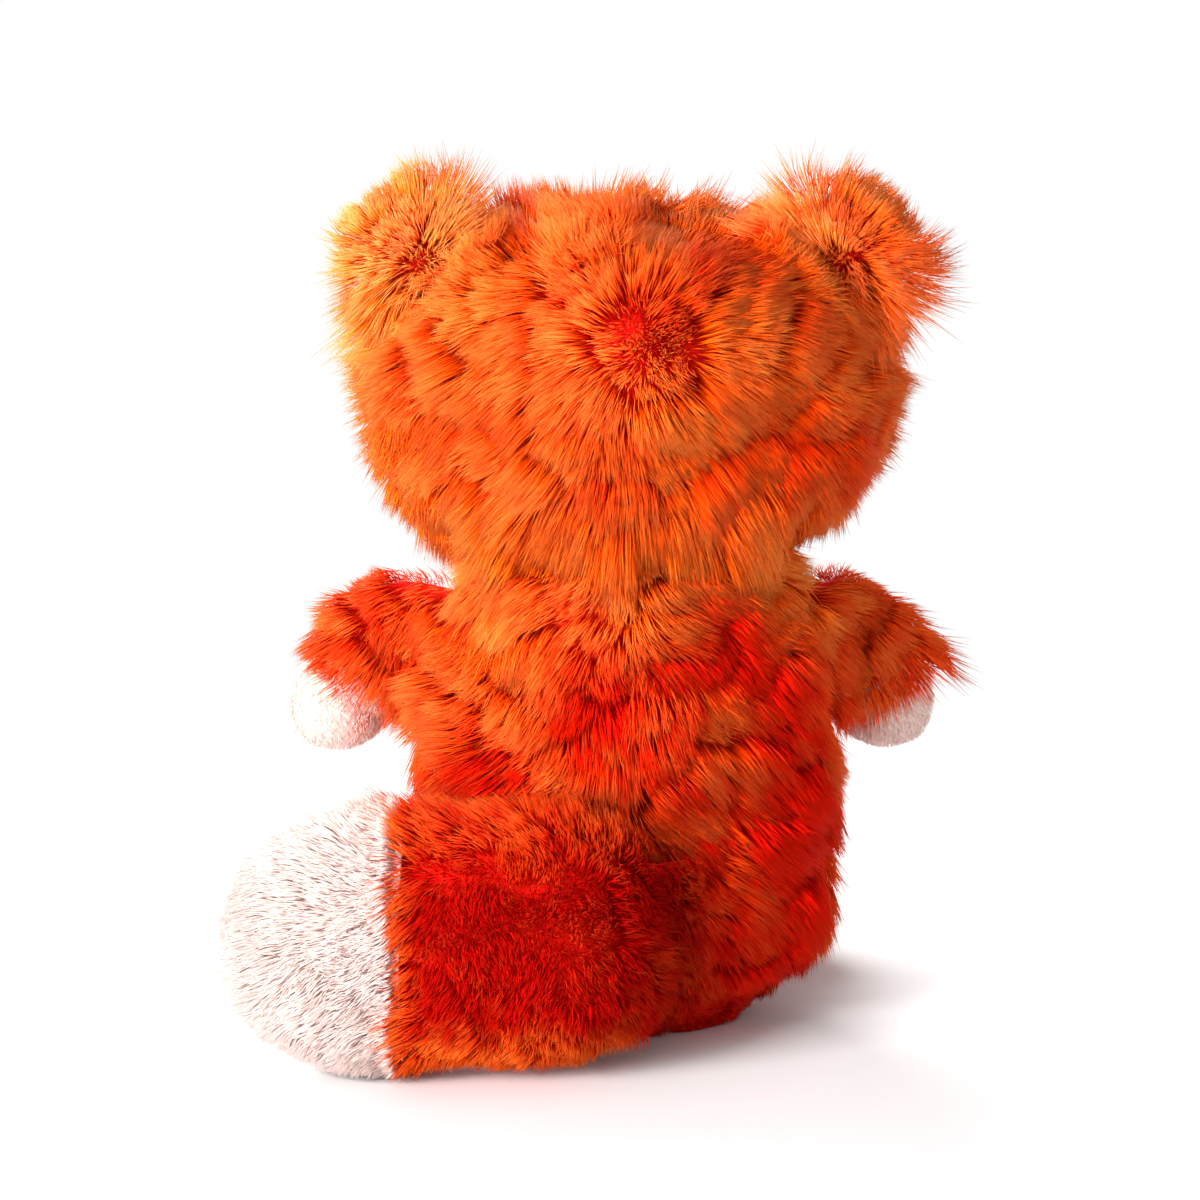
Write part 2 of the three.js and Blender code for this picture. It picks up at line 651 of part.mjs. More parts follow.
const REED_WIDTH = HOLDER_BORE * 1.4;
const reed = box(
  new THREE.Vector3(-REED_WIDTH / 2, GAP, PLUG_FOOT),
  new THREE.Vector3(REED_WIDTH / 2, GAP + REED_THICKNESS, DECK_TOP),
);
add(body, "squeaker_reed", reed, finishes.reedPlastic);

// Fibrefill: two wads that meet round the squeaker
const pocketFlange = HOLDER_FLANGE_RADIUS + GAP;
const pocketTop = HOLDER_TOP + GAP;
const pocketSide = bulbSide(-GAP, pocketFlange);
const pocket = turned([...pocketSide, [pocketFlange, pocketTop], [0, pocketTop]], LIMB_SIDES);
const wadding = bodyForm(PLUSH_WALL + GAP).subtract(pocket);
add(body, "body_filling_front", wadding.intersect(frontHalf(-GAP / 2)), finishes.fibrefill);
add(body, "body_filling_back", wadding.intersect(backHalf(GAP / 2)), finishes.fibrefill);

// Head
const headSpace = above(HEAD_SEAM_Z);
const headSkin = headForm(0, headHollow).subtract(headForm(PLUSH_WALL));
const neckHole = bodyForm(PLUSH_WALL, PLUSH_WALL + HEAD_SINK);
add(head, "head_shell", headSkin.intersect(headSpace).subtract(neckHole), finishes.orangePlush);
add(head, "head_filling", headForm(PLUSH_WALL + GAP).intersect(headSpace), finishes.fibrefill);

// Face
const muzzleZ = HEAD_Z - MUZZLE_DROP;
const muzzleMiddle = new THREE.Vector3(0, -headDepthAt(0, muzzleZ), muzzleZ);
const muzzleForm = (grow) =>
  ellipsoid(muzzleMiddle, MUZZLE_WIDTH + grow, MUZZLE_DEPTH + grow, MUZZLE_HEIGHT + grow);
const muzzleWithGap = muzzleForm(2 * GAP);
add(head, "muzzle", muzzleForm(0).subtract(headWithGap).intersect(headSpace), finishes.palePlush);

const NOSE_TILT = 40; // degrees up from the front of the muzzle
const noseMiddle = muzzleMiddle.clone();
noseMiddle.y -= (MUZZLE_DEPTH / 2) * Math.cos(radians(NOSE_TILT));
noseMiddle.z += (MUZZLE_HEIGHT / 2) * Math.sin(radians(NOSE_TILT));
const nose = ellipsoid(noseMiddle, NOSE_WIDTH, NOSE_DEPTH, NOSE_HEIGHT);
add(head, "nose", nose.subtract(muzzleWithGap).subtract(headWithGap), finishes.darkThread);

// A place on the face: beside the middle line and above the middle of the head.
function onFace(beside, rise) {
  const height = HEAD_Z + rise;
  return new THREE.Vector3(beside, -headDepthAt(beside, height), height);
}

const cheekSkin = headForm(-CHEEK_PROUD).subtract(headWithGap).intersect(headSpace);
for (const [name, side] of [["left", LEFT], ["right", RIGHT]]) {
  const eyeAt = onFace((side * EYE_SPACING) / 2, EYE_RISE);
  const eyeForm = (grow) => ellipsoid(eyeAt, EYE_DIAMETER + grow, EYE_DEPTH + grow, EYE_DIAMETER + grow);
  const eye = eyeForm(0).subtract(headWithGap).subtract(muzzleWithGap);
  add(head, `${name}_eye`, eye, finishes.darkThread);

  const cheekAt = onFace(side * (HEAD_WIDTH / 2 - CHEEK_INSET), -CHEEK_DROP);
  const patch = ellipsoid(cheekAt, CHEEK_WIDTH, HEAD_DEPTH / 2, CHEEK_HEIGHT);
  const cheek = cheekSkin.intersect(patch).subtract(muzzleWithGap).subtract(eyeForm(2 * GAP));
  add(head, `${name}_cheek`, cheek, finishes.palePlush);
}

// Ears, arms and legs
const yaws = { left: LEFT_ARM_YAW, right: RIGHT_ARM_YAW };
for (const [name, side] of [["left", LEFT], ["right", RIGHT]]) {
  const ear = earOf(side);
  const earGroup = assembly(`${name}_ear`, head, ear.pivot, ear.hinge);
  const pad = ear.limb.stretch(0, ear.limb.length);
  const split = EAR_SETBACK - EAR_THICKNESS / 2 + EAR_LINING_THICKNESS;
  add(earGroup, `${name}_ear_back`, pad.intersect(backHalf(split + GAP / 2)), finishes.orangePlush);
  add(earGroup, `${name}_ear_lining`, pad.intersect(frontHalf(split - GAP / 2)), finishes.palePlush);

  const arm = armOf(side, yaws[name]);
  const armGroup = assembly(`${name}_arm`, body, arm.pivot, arm.hinge);
  const sleeve = arm.limb.sleeve(SLEEVE_LENGTH, LIMB_WALL);
  add(armGroup, `${name}_arm_sleeve`, sleeve, finishes.orangePlush);
  add(armGroup, `${name}_paw`, arm.limb.cap(SLEEVE_LENGTH, LIMB_WALL), finishes.palePlush);
  add(armGroup, `${name}_arm_filling`, arm.limb.filling(LIMB_WALL), finishes.fibrefill);

  const leg = legOf(side);
  const legGroup = assembly(`${name}_leg`, body, leg.pivot, leg.hinge);
  const thigh = leg.limb.sleeve(LEG_SLEEVE_LENGTH, LIMB_WALL).subtract(ground);
  const foot = leg.limb.cap(LEG_SLEEVE_LENGTH, LIMB_WALL).subtract(ground);
  add(legGroup, `${name}_leg_sleeve`, thigh, finishes.orangePlush);
  add(legGroup, `${name}_foot`, foot, finishes.palePlush);
  add(legGroup, `${name}_leg_filling`, leg.limb.filling(LIMB_WALL), finishes.fibrefill);
}

// Tail
const tail = tailOf();
const tailGroup = assembly("tail", body, tail.pivot, tail.hinge);
const tailSleeve = tail.limb.sleeve(TAIL_SLEEVE_LENGTH, PLUSH_WALL).subtract(ground);
const tailTip = tail.limb.cap(TAIL_SLEEVE_LENGTH, PLUSH_WALL).subtract(ground);
const tailFilling = tail.limb.filling(PLUSH_WALL);
add(tailGroup, "tail_sleeve", tailSleeve, finishes.orangePlush);
add(tailGroup, "tail_tip", tailTip, finishes.palePlush);
add(tailGroup, "tail_filling", tailFilling, finishes.fibrefill);

export default toy;
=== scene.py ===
"""Sitting plush red panda dog toy: long-pile skins over stuffing, pale paws and face, a squeaker inside.

Metres, +Z up. The toy faces -Y, its own left side is +X, and it sits on Z = 0.
"""

from __future__ import annotations

import logging
import math
from contextlib import contextmanager
from dataclasses import dataclass, fields
from enum import Enum
from functools import cache, cached_property, partial
from itertools import product
from typing import Any, Callable, Iterator, Sequence

import bmesh
import bpy
import numpy as np
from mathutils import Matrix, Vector

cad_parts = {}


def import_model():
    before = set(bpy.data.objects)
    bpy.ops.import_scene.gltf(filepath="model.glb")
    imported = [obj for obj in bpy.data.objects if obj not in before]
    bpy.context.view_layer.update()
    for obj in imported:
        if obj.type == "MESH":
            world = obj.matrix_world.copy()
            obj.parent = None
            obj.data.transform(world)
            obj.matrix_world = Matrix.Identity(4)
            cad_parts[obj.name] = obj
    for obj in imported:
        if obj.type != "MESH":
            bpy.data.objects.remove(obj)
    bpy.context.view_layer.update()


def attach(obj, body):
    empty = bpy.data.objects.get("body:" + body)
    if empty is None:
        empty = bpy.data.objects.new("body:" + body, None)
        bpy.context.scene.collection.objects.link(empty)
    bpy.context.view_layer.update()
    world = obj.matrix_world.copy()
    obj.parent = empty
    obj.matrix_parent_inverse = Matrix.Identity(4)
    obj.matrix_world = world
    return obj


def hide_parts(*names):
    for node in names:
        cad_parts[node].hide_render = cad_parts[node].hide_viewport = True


LOG = logging.getLogger("plush_toy")
MM = 0.001
EDGE = 2.5 * MM  # half the thickness of a limb at its sewn edge
UP = np.array([0.0, 0.0, 1.0])
BACK = np.array([0.0, 1.0, 0.0])
FRONT = -BACK
ACROSS = np.array([1.0, 0.0, 0.0])
Array = np.ndarray
Mesh = bpy.types.Mesh
Object = bpy.types.Object
Material = bpy.types.Material
Socket = bpy.types.NodeSocket
Screen = tuple[int, int, int]  # a screen colour, each part from 0 to 255
Size = tuple[float, float, float]


class Worded(Enum):
    """A choice whose name is part of the pieces' names."""

    @property
    def word(self) -> str:
        """The name as the pieces spell it."""
        return self.name.lower()


class Side(Worded):
    """The toy's own left or right, as the sign of X."""

    LEFT = 1
    RIGHT = -1


class Half(Worded):
    """The back or the front half of a form, as the sign of Y."""

    BACK = 1
    FRONT = -1


class Slot(Enum):
    """The names of material slots, one carried by each cut of plush."""

    ORANGE = "orange_plush"
    PALE = "pale_plush"
    THREAD = "dark_thread"
    FIBRE = "fibrefill"


# Small maths


def unit(vectors: Array) -> Array:
    """Vectors scaled to length 1 along their last axis."""
    size = np.linalg.norm(vectors, axis=-1, keepdims=True)
    return vectors / np.maximum(size, 1e-9)


def tangent(way: Array, normals: Array) -> Array:
    """The part of a way that runs along the surface, at length 1."""
    return unit(way - normals * np.sum(way * normals, axis=1, keepdims=True))


def downhill(normals: Array) -> Array:
    """The way down along the surface, at length 1."""
    return tangent(np.tile(-UP, (len(normals), 1)), normals)


def smooth(value: Array | float, low: float, high: float) -> Any:
    """A smooth step from 0 at low to 1 at high."""
    share = np.clip((np.asarray(value, float) - low) / (high - low), 0.0, 1.0)
    return share * share * (3.0 - 2.0 * share)


def turn_about(vector: Array, axis: Array, angle: float) -> Array:
    """A vector turned about a unit axis by an angle in radians."""
    cos, sin = math.cos(angle), math.sin(angle)
    return vector * cos + np.cross(axis, vector) * sin + axis * np.dot(axis, vector) * (1 - cos)


@dataclass(frozen=True)
class Fade:
    """A smooth step: nothing up to its low value, and its full amount from the high one on."""

    low: float
    high: float
    amount: float = 1.0

    def __call__(self, value: Array) -> Array:
        """The amount at each value."""
        return self.amount * smooth(value, self.low, self.high)

    def near(self, value: Array) -> Array:
        """The same the other way round: the full amount below, and nothing above."""
        return self.amount * (1 - smooth(value, self.low, self.high))


@dataclass(frozen=True)
class Drift:
    """A smooth random vector field with swells of a given size."""

    size: float
    seed: int
    amount: float = 1.0

    def __call__(self, points: Array) -> Array:
        """One vector for each point, about as long as the amount."""
        chance, waves, shortest, longest = np.random.default_rng(self.seed), 6, 0.8, 1.6
        total = np.zeros((len(points), 3))
        for _ in range(waves):
            way = unit(chance.normal(size=3)) * 2 * np.pi / (self.size * chance.uniform(shortest, longest))
            total += np.sin((points @ way)[:, None] + chance.uniform(0, 2 * np.pi, 3))
        return total / math.sqrt(waves) * self.amount


# Node trees


def linear(red: int, green: int, blue: int) -> tuple[float, float, float, float]:
    """A screen colour as the linear one that shaders take."""
    parts = [value / 255.0 for value in (red, green, blue)]
    return tuple(p / 12.92 if p <= 0.04045 else ((p + 0.055) / 1.055) ** 2.4 for p in parts) + (1.0,)


class NodeMaker:
    """Adds nodes to a tree and wires them in one call."""

    def __init__(self, tree: bpy.types.NodeTree) -> None:
        """Keeps the tree."""
        self.tree = tree

    def add(self, kind: str, inputs: dict[str | int, Any] | None = None, **settings: Any) -> bpy.types.Node:
        """Adds one node.

        Args:
            kind: the node's type name.
            inputs: a socket to link from, or a plain value, by input name or number.
            **settings: the node's own properties.

        Returns:
            The new node.
        """
        node = self.tree.nodes.new(kind)
        for key, value in settings.items():
            setattr(node, key, value)
        self.fill(node, inputs or {})
        return node

    def fill(self, node: bpy.types.Node, inputs: dict[str | int, Any]) -> None:
        """Links a node's inputs to sockets, or sets their plain values.

        Args:
            node: the node.
            inputs: what each input gets, by its name or number.
        """
        for key, value in inputs.items():
            if isinstance(value, Socket):
                self.tree.links.new(value, node.inputs[key])
            else:
                node.inputs[key].default_value = value

    def math(self, operation: str, *values: Any) -> Socket:
        """One number, made from others by an operation of the Math node."""
        return self.add("ShaderNodeMath", dict(enumerate(values)), operation=operation).outputs[0]

    def vector(self, operation: str, *values: Any) -> Socket:
        """One vector or number, made from vectors by an operation of the Vector Math node."""
        node = self.add("ShaderNodeVectorMath", dict(enumerate(values)), operation=operation)
        return node.outputs["Value" if operation in ("LENGTH", "DOT_PRODUCT") else "Vector"]

    def scaled(self, vector: Any, factor: Any) -> Socket:
        """A vector times a number."""
        return self.add("ShaderNodeVectorMath", {0: vector, "Scale": factor}, operation="SCALE").outputs[0]

    def parts(self, vector: Socket) -> Any:
        """A vector's X, Y and Z sockets."""
        return self.add("ShaderNodeSeparateXYZ", {0: vector}).outputs

    def join(self, *parts: Any) -> Socket:
        """A vector from its parts."""
        return self.add("ShaderNodeCombineXYZ", dict(enumerate(parts))).outputs[0]

    def place(self) -> Socket:
        """The Object coordinates of a material."""
        return self.add("ShaderNodeTexCoord").outputs["Object"]

    def noise(self, place: Socket, scale: float, detail: float) -> bpy.types.Node:
        """A Noise texture."""
        return self.add("ShaderNodeTexNoise", {"Vector": place, "Scale": scale, "Detail": detail})

    def bump(self, height: Socket, strength: float, depth: float) -> Socket:
        """The normal of a surface with a bump."""
        inputs = {"Strength": strength, "Distance": depth, "Height": height}
        return self.add("ShaderNodeBump", inputs).outputs[0]

    def ramp(self, value: Socket, *stops: tuple[float, Screen]) -> Socket:
        """A colour that runs through stops.

        Args:
            value: the number that picks the colour.
            *stops: each stop's place from 0 to 1, in order, and its screen colour.

        Returns:
            The colour's socket.
        """
        node = self.add("ShaderNodeValToRGB", {0: value})
        elements = node.color_ramp.elements
        for element, (place, color) in zip((elements[0], elements[1]), (stops[0], stops[-1])):
            element.position = place
            element.color = linear(*color)
        for place, color in stops[1:-1]:
            elements.new(place).color = linear(*color)
        return node.outputs["Color"]


# Finishes


def blank_material(name: str) -> tuple[Material, NodeMaker, bpy.types.Node]:
    """A new material, a maker for its nodes and its shader."""
    material = bpy.data.materials.new(name)
    material.use_nodes = True
    return material, NodeMaker(material.node_tree), material.node_tree.nodes["Principled BSDF"]


@dataclass(frozen=True)
class PileFinish:
    """Long fibres: the colour runs from root to tip, and each fibre has its own tone, deep to bright."""

    name: str
    deep: tuple[Screen, Screen, Screen]  # the root, middle and tip of the deepest fibre
    bright: tuple[Screen, Screen, Screen]  # and of the brightest
    stops: Size = (0.05, 0.5, 0.97)  # where the three stand along the fibre
    roughness: float = 0.55
    specular: float = 0.04

    def material(self) -> Material:
        """Builds the material on the fibres' own map.

        Returns:
            The new material.
        """
        material, make, shader = blank_material(self.name)
        spot = make.parts(make.add("ShaderNodeUVMap", uv_map="OFBake").outputs[0])
        deep = make.ramp(spot["X"], *zip(self.stops, self.deep))
        bright = make.ramp(spot["X"], *zip(self.stops, self.bright))
        mix = make.add("ShaderNodeMix", {0: spot["Y"], 6: deep, 7: bright}, data_type="RGBA")
        make.fill(shader, {"Base Color": mix.outputs[2], "Roughness": self.roughness})
        make.fill(shader, {"Specular IOR Level": self.specular})
        return material


@dataclass(frozen=True)
class NapFinish:
    """Short-pile plush or backing cloth: mottled colour, painted darker in the bump's valleys as shade, fine
    fibre bump and a soft sheen.
    """

    name: str
    # the colour low on the mottle, where the bump sinks: the mottle's tone with painted shade
    valley: Screen
    crest: Screen
    grain: float = 1.1 * MM
    bump: float = 0.5
    sheen: float = 0.5
    sheen_roughness: float = 0.45
    specular: float = 0.2
    mottle: float = 0.12  # how many of the wide spots go on one grain
    fine: float = 0.6  # the grain's share of the colour
    stops: tuple[float, float] = (0.32, 0.66)  # where valley and crest stand
    smoothest: float = 0.75  # the least roughness
    uneven: float = 0.2  # what the grain adds to it

    def material(self) -> Material:
        """Builds the material on Object coordinates.

        Returns:
            The new material.
        """
        material, make, shader = blank_material(self.name)
        place = make.place()
        fine = make.noise(place, 1 / self.grain, 3.0).outputs[0]
        wide = make.noise(place, self.mottle / self.grain, 2.0).outputs[0]
        both = make.math("MULTIPLY_ADD", fine, self.fine, make.math("MULTIPLY", wide, 1 - self.fine))
        look = {
            # one mottle sets both colour and bump, so the bump's valleys carry painted shade
            "Base Color": make.ramp(both, *zip(self.stops, (self.valley, self.crest))),
            "Roughness": make.math("MULTIPLY_ADD", fine, self.uneven, self.smoothest),
            "Normal": make.bump(both, self.bump, self.grain),
            "Specular IOR Level": self.specular,
            "Sheen Weight": self.sheen,
            "Sheen Roughness": self.sheen_roughness,
        }
        make.fill(shader, look)
        return material


@dataclass(frozen=True)
class ThreadFinish:
    """Satin-stitch embroidery: close parallel threads with a soft gloss, painted darker between the threads
    as shade and lighter on them as highlight.
    """

    name: str
    dark: Screen
    light: Screen
    pitch: float = 0.45 * MM
    bump: float = 0.5
    ripple: float = 0.6
    roughness: float = 0.3
    specular: float = 0.5
    band: float = 0.31416  # the Wave texture's band at scale 1

    def material(self) -> Material:
        """Builds the material on Object coordinates.

        Returns:
            The new material.
        """
        material, make, shader = blank_material(self.name)
        lines = {"Vector": make.place(), "Scale": self.band / self.pitch}
        lines |= {"Distortion": self.ripple, "Detail": 1.0}
        threads = make.add("ShaderNodeTexWave", lines, wave_type="BANDS", bands_direction="X").outputs[1]
        look = {
            # dark in the grooves between threads and light on their tops: painted shade and painted highlight
            # over the dark thread
            "Base Color": make.ramp(threads, (0.0, self.dark), (1.0, self.light)),
            "Normal": make.bump(threads, self.bump, self.pitch),
            "Roughness": self.roughness,
            "Specular IOR Level": self.specular,
        }
        make.fill(shader, look)
        return material


@dataclass(frozen=True)
class MouldedFinish:
    """Moulded soft plastic with a faint orange-peel skin, its pits painted a little darker as shade."""

    name: str
    color: Screen
    roughness: float
    uneven: float = 0.15  # what the skin adds to the roughness
    # painted shade: the pits' colour as a share of the full colour
    shade: float = 0.93  # the colour in the skin's pits
    peel: float = 900.0  # pits to a metre
    bump: float = 0.15
    depth: float = 0.2 * MM

    def material(self) -> Material:
        """Builds the material on Object coordinates.

        Returns:
            The new material.
        """
        material, make, shader = blank_material(self.name)
        skin = make.noise(make.place(), self.peel, 2.0).outputs[0]
        # the pits are painted darker, as shade
        pits = tuple(int(value * self.shade) for value in self.color)
        look = {
            "Base Color": make.ramp(skin, (0.0, pits), (1.0, self.color)),
            "Roughness": make.math("MULTIPLY_ADD", skin, self.uneven, self.roughness),
            "Normal": make.bump(skin, self.bump, self.depth),
        }
        make.fill(shader, look)
        return material


Finish = PileFinish | NapFinish | ThreadFinish | MouldedFinish

ORANGE_PILE = PileFinish(
    "orange_pile",
    deep=((214, 0, 0), (226, 6, 0), (240, 32, 0)),
    bright=((255, 48, 0), (255, 108, 2), (255, 164, 76)),
)
# a brighter copy of the orange pile for the lit ears: painted light, taken back down on the shaded ear by its
# tone
LIT_EAR_PILE = PileFinish(
    "ear_pile",
    deep=((255, 50, 0), (255, 50, 0), (255, 84, 12)),
    bright=((255, 126, 10), (255, 156, 34), (255, 198, 122)),
)
# a darker copy of the orange pile for the tail: painted shade, darkest at the fibres' tips; its roots are
# brighter, as painted light against the shade between fibres
SHADED_TAIL_PILE = PileFinish(
    "tail_pile",
    deep=((236, 0, 0), (204, 0, 0), (182, 0, 0)),
    bright=((240, 40, 0), (255, 80, 2), (255, 140, 48)),
)
# a darker copy of the pale pile for the tail's tip: painted shade, darkest at the fibres' tips; its roots are
# brighter, as painted light against the shade between fibres
SHADED_TIP_PILE = PileFinish(
    "pale_tail_pile",
    deep=((255, 236, 230), (228, 202, 195), (212, 186, 179)),
    bright=((255, 242, 237), (234, 212, 206), (220, 200, 195)),
)
PALE_PILE = PileFinish(
    "pale_pile",
    deep=((248, 230, 224), (248, 234, 229), (249, 236, 232)),
    bright=((250, 236, 231), (251, 241, 238), (252, 245, 243)),
)
PAW_PILE = PileFinish(
    "paw_pile",
    deep=((240, 204, 193), (242, 210, 200), (243, 216, 207)),
    bright=((243, 212, 203), (245, 222, 214), (247, 230, 224)),
)
BACKING = NapFinish("orange_backing", (246, 4, 0), (255, 26, 0), grain=0.7 * MM, sheen=0.0)
PALE_BACKING = NapFinish("pale_backing", (240, 214, 207), (246, 226, 221), grain=0.7 * MM, sheen=0.2)
PALE_NAP = NapFinish("pale_nap", (238, 204, 193), (246, 226, 219))
FIBRE = NapFinish("fibrefill", (228, 228, 228), (250, 250, 250), grain=1.6 * MM, bump=0.9)
STITCH = ThreadFinish("dark_stitch", dark=(16, 11, 10), light=(52, 40, 37))
BULB = MouldedFinish("bulb_plastic", color=(238, 238, 232), roughness=0.42)
REED = MouldedFinish("reed_plastic", color=(216, 219, 222), roughness=0.3)


@cache
def material_of(finish: Finish) -> Material:
    """The finish's material, built on first use."""
    return finish.material()


# Forms


@contextmanager
def edited(mesh: Mesh) -> Iterator[bmesh.types.BMesh]:
    """Opens a mesh for edits and writes them back.

    Args:
        mesh: the mesh to change.

    Yields:
        Its working copy.
    """
    work = bmesh.new()
    work.from_mesh(mesh)
    yield work
    work.to_mesh(mesh)
    work.free()


def points_of(mesh: Mesh) -> tuple[Array, Array]:
    """A mesh's points and their normals."""
    points = np.array([point.co for point in mesh.vertices])
    return points, np.array([normal.vector for normal in mesh.vertex_normals])


def place_piece(name: str, mesh: Mesh, material: Material | None = None) -> Object:
    """Puts a mesh in the scene as a piece.

    Args:
        name: the piece's name.
        mesh: its mesh, already in place.
        material: its material, where the mesh has none yet.

    Returns:
        The new object.
    """
    piece = bpy.data.objects.new(name, mesh)
    bpy.context.scene.collection.objects.link(piece)
    if material is not None:
        mesh.materials.clear()
        mesh.materials.append(material)
    return piece


def settled(piece: Object) -> Mesh:
    """Takes a piece's modifiers off, and gives the mesh that they made as a new one."""
    graph = bpy.context.evaluated_depsgraph_get()
    mesh = bpy.data.meshes.new_from_object(piece.evaluated_get(graph), depsgraph=graph)
    piece.modifiers.clear()
    return mesh


@dataclass
class Form:
    """A closed skin of rings: points by ring, and a pole at each end."""

    points: Array
    sides: int

    @classmethod
    def loft(cls, centres: Array, u: Array, v: Array, a: Array, b: Array, sides: int) -> Form:
        """Runs elliptical rings along a list of centres.

        Args:
            centres: the rings' middles.
            u: the first direction of the rings, or of each ring.
            v: the second direction.
            a: half sizes along u.
            b: half sizes along v.
            sides: points on each ring.

        Returns:
            The form, with a pole in the middle of the first and the last ring.
        """
        turn = np.linspace(0.0, 2 * np.pi, sides, endpoint=False)
        u, v = (np.broadcast_to(way, centres.shape) for way in (u, v))
        rings = (
            centres[:, None, :]
            + u[:, None, :] * (a[:, None] * np.cos(turn))[..., None]
            + v[:, None, :] * (b[:, None] * np.sin(turn))[..., None]
        )
        return cls(np.concatenate([rings.reshape(-1, 3), centres[:1], centres[-1:]]), sides)

    @classmethod
    def ball(cls, middle: Array, half: Sequence[float], rings: int, sides: int) -> Form:
        """An ellipsoid with its poles at the front and the back.

        Args:
            middle: its middle.
            half: its half width, half depth and half height.
            rings: rings from the back to the front.
            sides: points on each ring.

        Returns:
            The form.
        """
        hole = 0.04  # the first ring's angle from its pole
        turn = np.linspace(hole, np.pi - hole, rings)
        centres = np.asarray(middle, float) + BACK * (half[1] * np.cos(turn))[:, None]
        return cls.loft(centres, ACROSS, UP, half[0] * np.sin(turn), half[2] * np.sin(turn), sides)

    @classmethod
    def pad(cls, place: Callable[[float, float, float], Array], proud: float) -> Form:
        """A low round pad that lies on another skin.

        Args:
            place: a point, from its shares across and above the pad's middle and its height on the skin.
            proud: how high the pad's middle stands.

        Returns:
            The form, with its underside a little below the skin.
        """
        rings, sides, hole, rim, tuck, below = 9, 36, 0.05, 0.999, 0.995, 1.0 * MM
        turn = np.linspace(0, 2 * np.pi, sides, endpoint=False)
        steps = np.linspace(hole, 1.0, rings)
        levels = [(share, proud * math.sqrt(1 - (share * rim) ** 2)) for share in steps]
        levels += [(share * tuck, -below) for share in steps[::-1]]
        points = [place(s * math.cos(t), s * math.sin(t), lift) for s, lift in levels for t in turn]
        points += [place(0.0, 0.0, lift) for _, lift in (levels[0], levels[-1])]
        return cls(np.array(points), sides)

    @property
    def rings(self) -> int:
        """How many rings the form has."""
        return (len(self.points) - 2) // self.sides

    def faces(self) -> list[tuple[int, ...]]:
        """The skin's faces, as point numbers.

        Returns:
            Quads between the rings and a fan of triangles at each pole.
        """
        found: list[tuple[int, ...]] = []
        first, last = len(self.points) - 2, len(self.points) - 1
        end = (self.rings - 1) * self.sides
        for k in range(self.sides):
            after = (k + 1) % self.sides
            for low in range(0, end, self.sides):
                high = low + self.sides
                found.append((low + k, low + after, high + after, high + k))
            found.append((first, after, k))
            found.append((last, end + k, end + after))
        return found

    def mesh(self, name: str) -> Mesh:
        """Makes the mesh with its faces turned outwards.

        Args:
            name: the mesh's name.

        Returns:
            The new mesh.
        """
        mesh = bpy.data.meshes.new(name)
        mesh.from_pydata(self.points.tolist(), [], self.faces())
        with edited(mesh) as work:
            bmesh.ops.recalc_face_normals(work, faces=work.faces[:])
        mesh.shade_smooth()
        return mesh


class MeshTree:
    """A Geometry Nodes tree that makes one mesh from another, with named inputs."""

    def __init__(self, name: str, inputs: dict[str, str]) -> None:
        """Starts the tree with its inputs.

        Args:
            name: the tree's name.
            inputs: the kind of socket of each input, by its name.
        """
        self.tree = bpy.data.node_groups.new(name, "GeometryNodeTree")
        self.make = NodeMaker(self.tree)
        self.sockets: dict[str, str] = {}
        face = self.tree.interface
        for way in ("INPUT", "OUTPUT"):
            face.new_socket("shape", in_out=way, socket_type="NodeSocketGeometry")
        for key, kind in inputs.items():
            item = face.new_socket(key, in_out="INPUT", socket_type=f"NodeSocket{kind}")
            self.sockets[key] = item.identifier
        self.given = self.make.add("NodeGroupInput").outputs

    def where(self) -> Socket:
        """The places of a geometry's points."""
        return self.make.add("GeometryNodeInputPosition").outputs[0]

    def aligned(self, way: Socket) -> Socket:
        """The turn that brings Z onto a way."""
        return self.make.add("FunctionNodeAlignRotationToVector", {"Vector": way}, axis="Z").outputs[0]

    def repeat(self, points: Socket, shape: Socket, turn: Socket, size: Socket) -> Socket:
        """Puts a shape on every point, turned and scaled, as plain faces."""
        laid = {"Points": points, "Instance": shape, "Rotation": turn, "Scale": size}
        copies = self.make.add("GeometryNodeInstanceOnPoints", laid).outputs[0]
        return self.make.add("GeometryNodeRealizeInstances", {0: copies}).outputs[0]

    def end(self, shape: Socket) -> None:
        """Shades the shape smooth, gives it its material and makes it the tree's result."""
        soft = self.make.add("GeometryNodeSetShadeSmooth", {0: shape}).outputs[0]
        dressed = {"Geometry": soft, "Material": self.given["material"]}
        done = self.make.add("GeometryNodeSetMaterial", dressed).outputs[0]
        self.make.add("NodeGroupOutput", {0: done})

    def run(self, name: str, mesh: Mesh, values: dict[str, Any]) -> Object:
        """Runs the tree on a mesh.

        Args:
            name: the new piece's name.
            mesh: the mesh that it starts from.
            values: the inputs, by their names.

        Returns:
            What the tree makes, as a piece with plain faces.
        """
        carrier = place_piece(f"{name}_carrier", mesh)
        modifier = carrier.modifiers.new("tree", "NODES")
        modifier.node_group = self.tree
        for key, value in values.items():
            modifier[self.sockets[key]] = value
        made = settled(carrier)
        bpy.data.objects.remove(carrier)
        made.name = name
        return place_piece(name, made)


# Pile


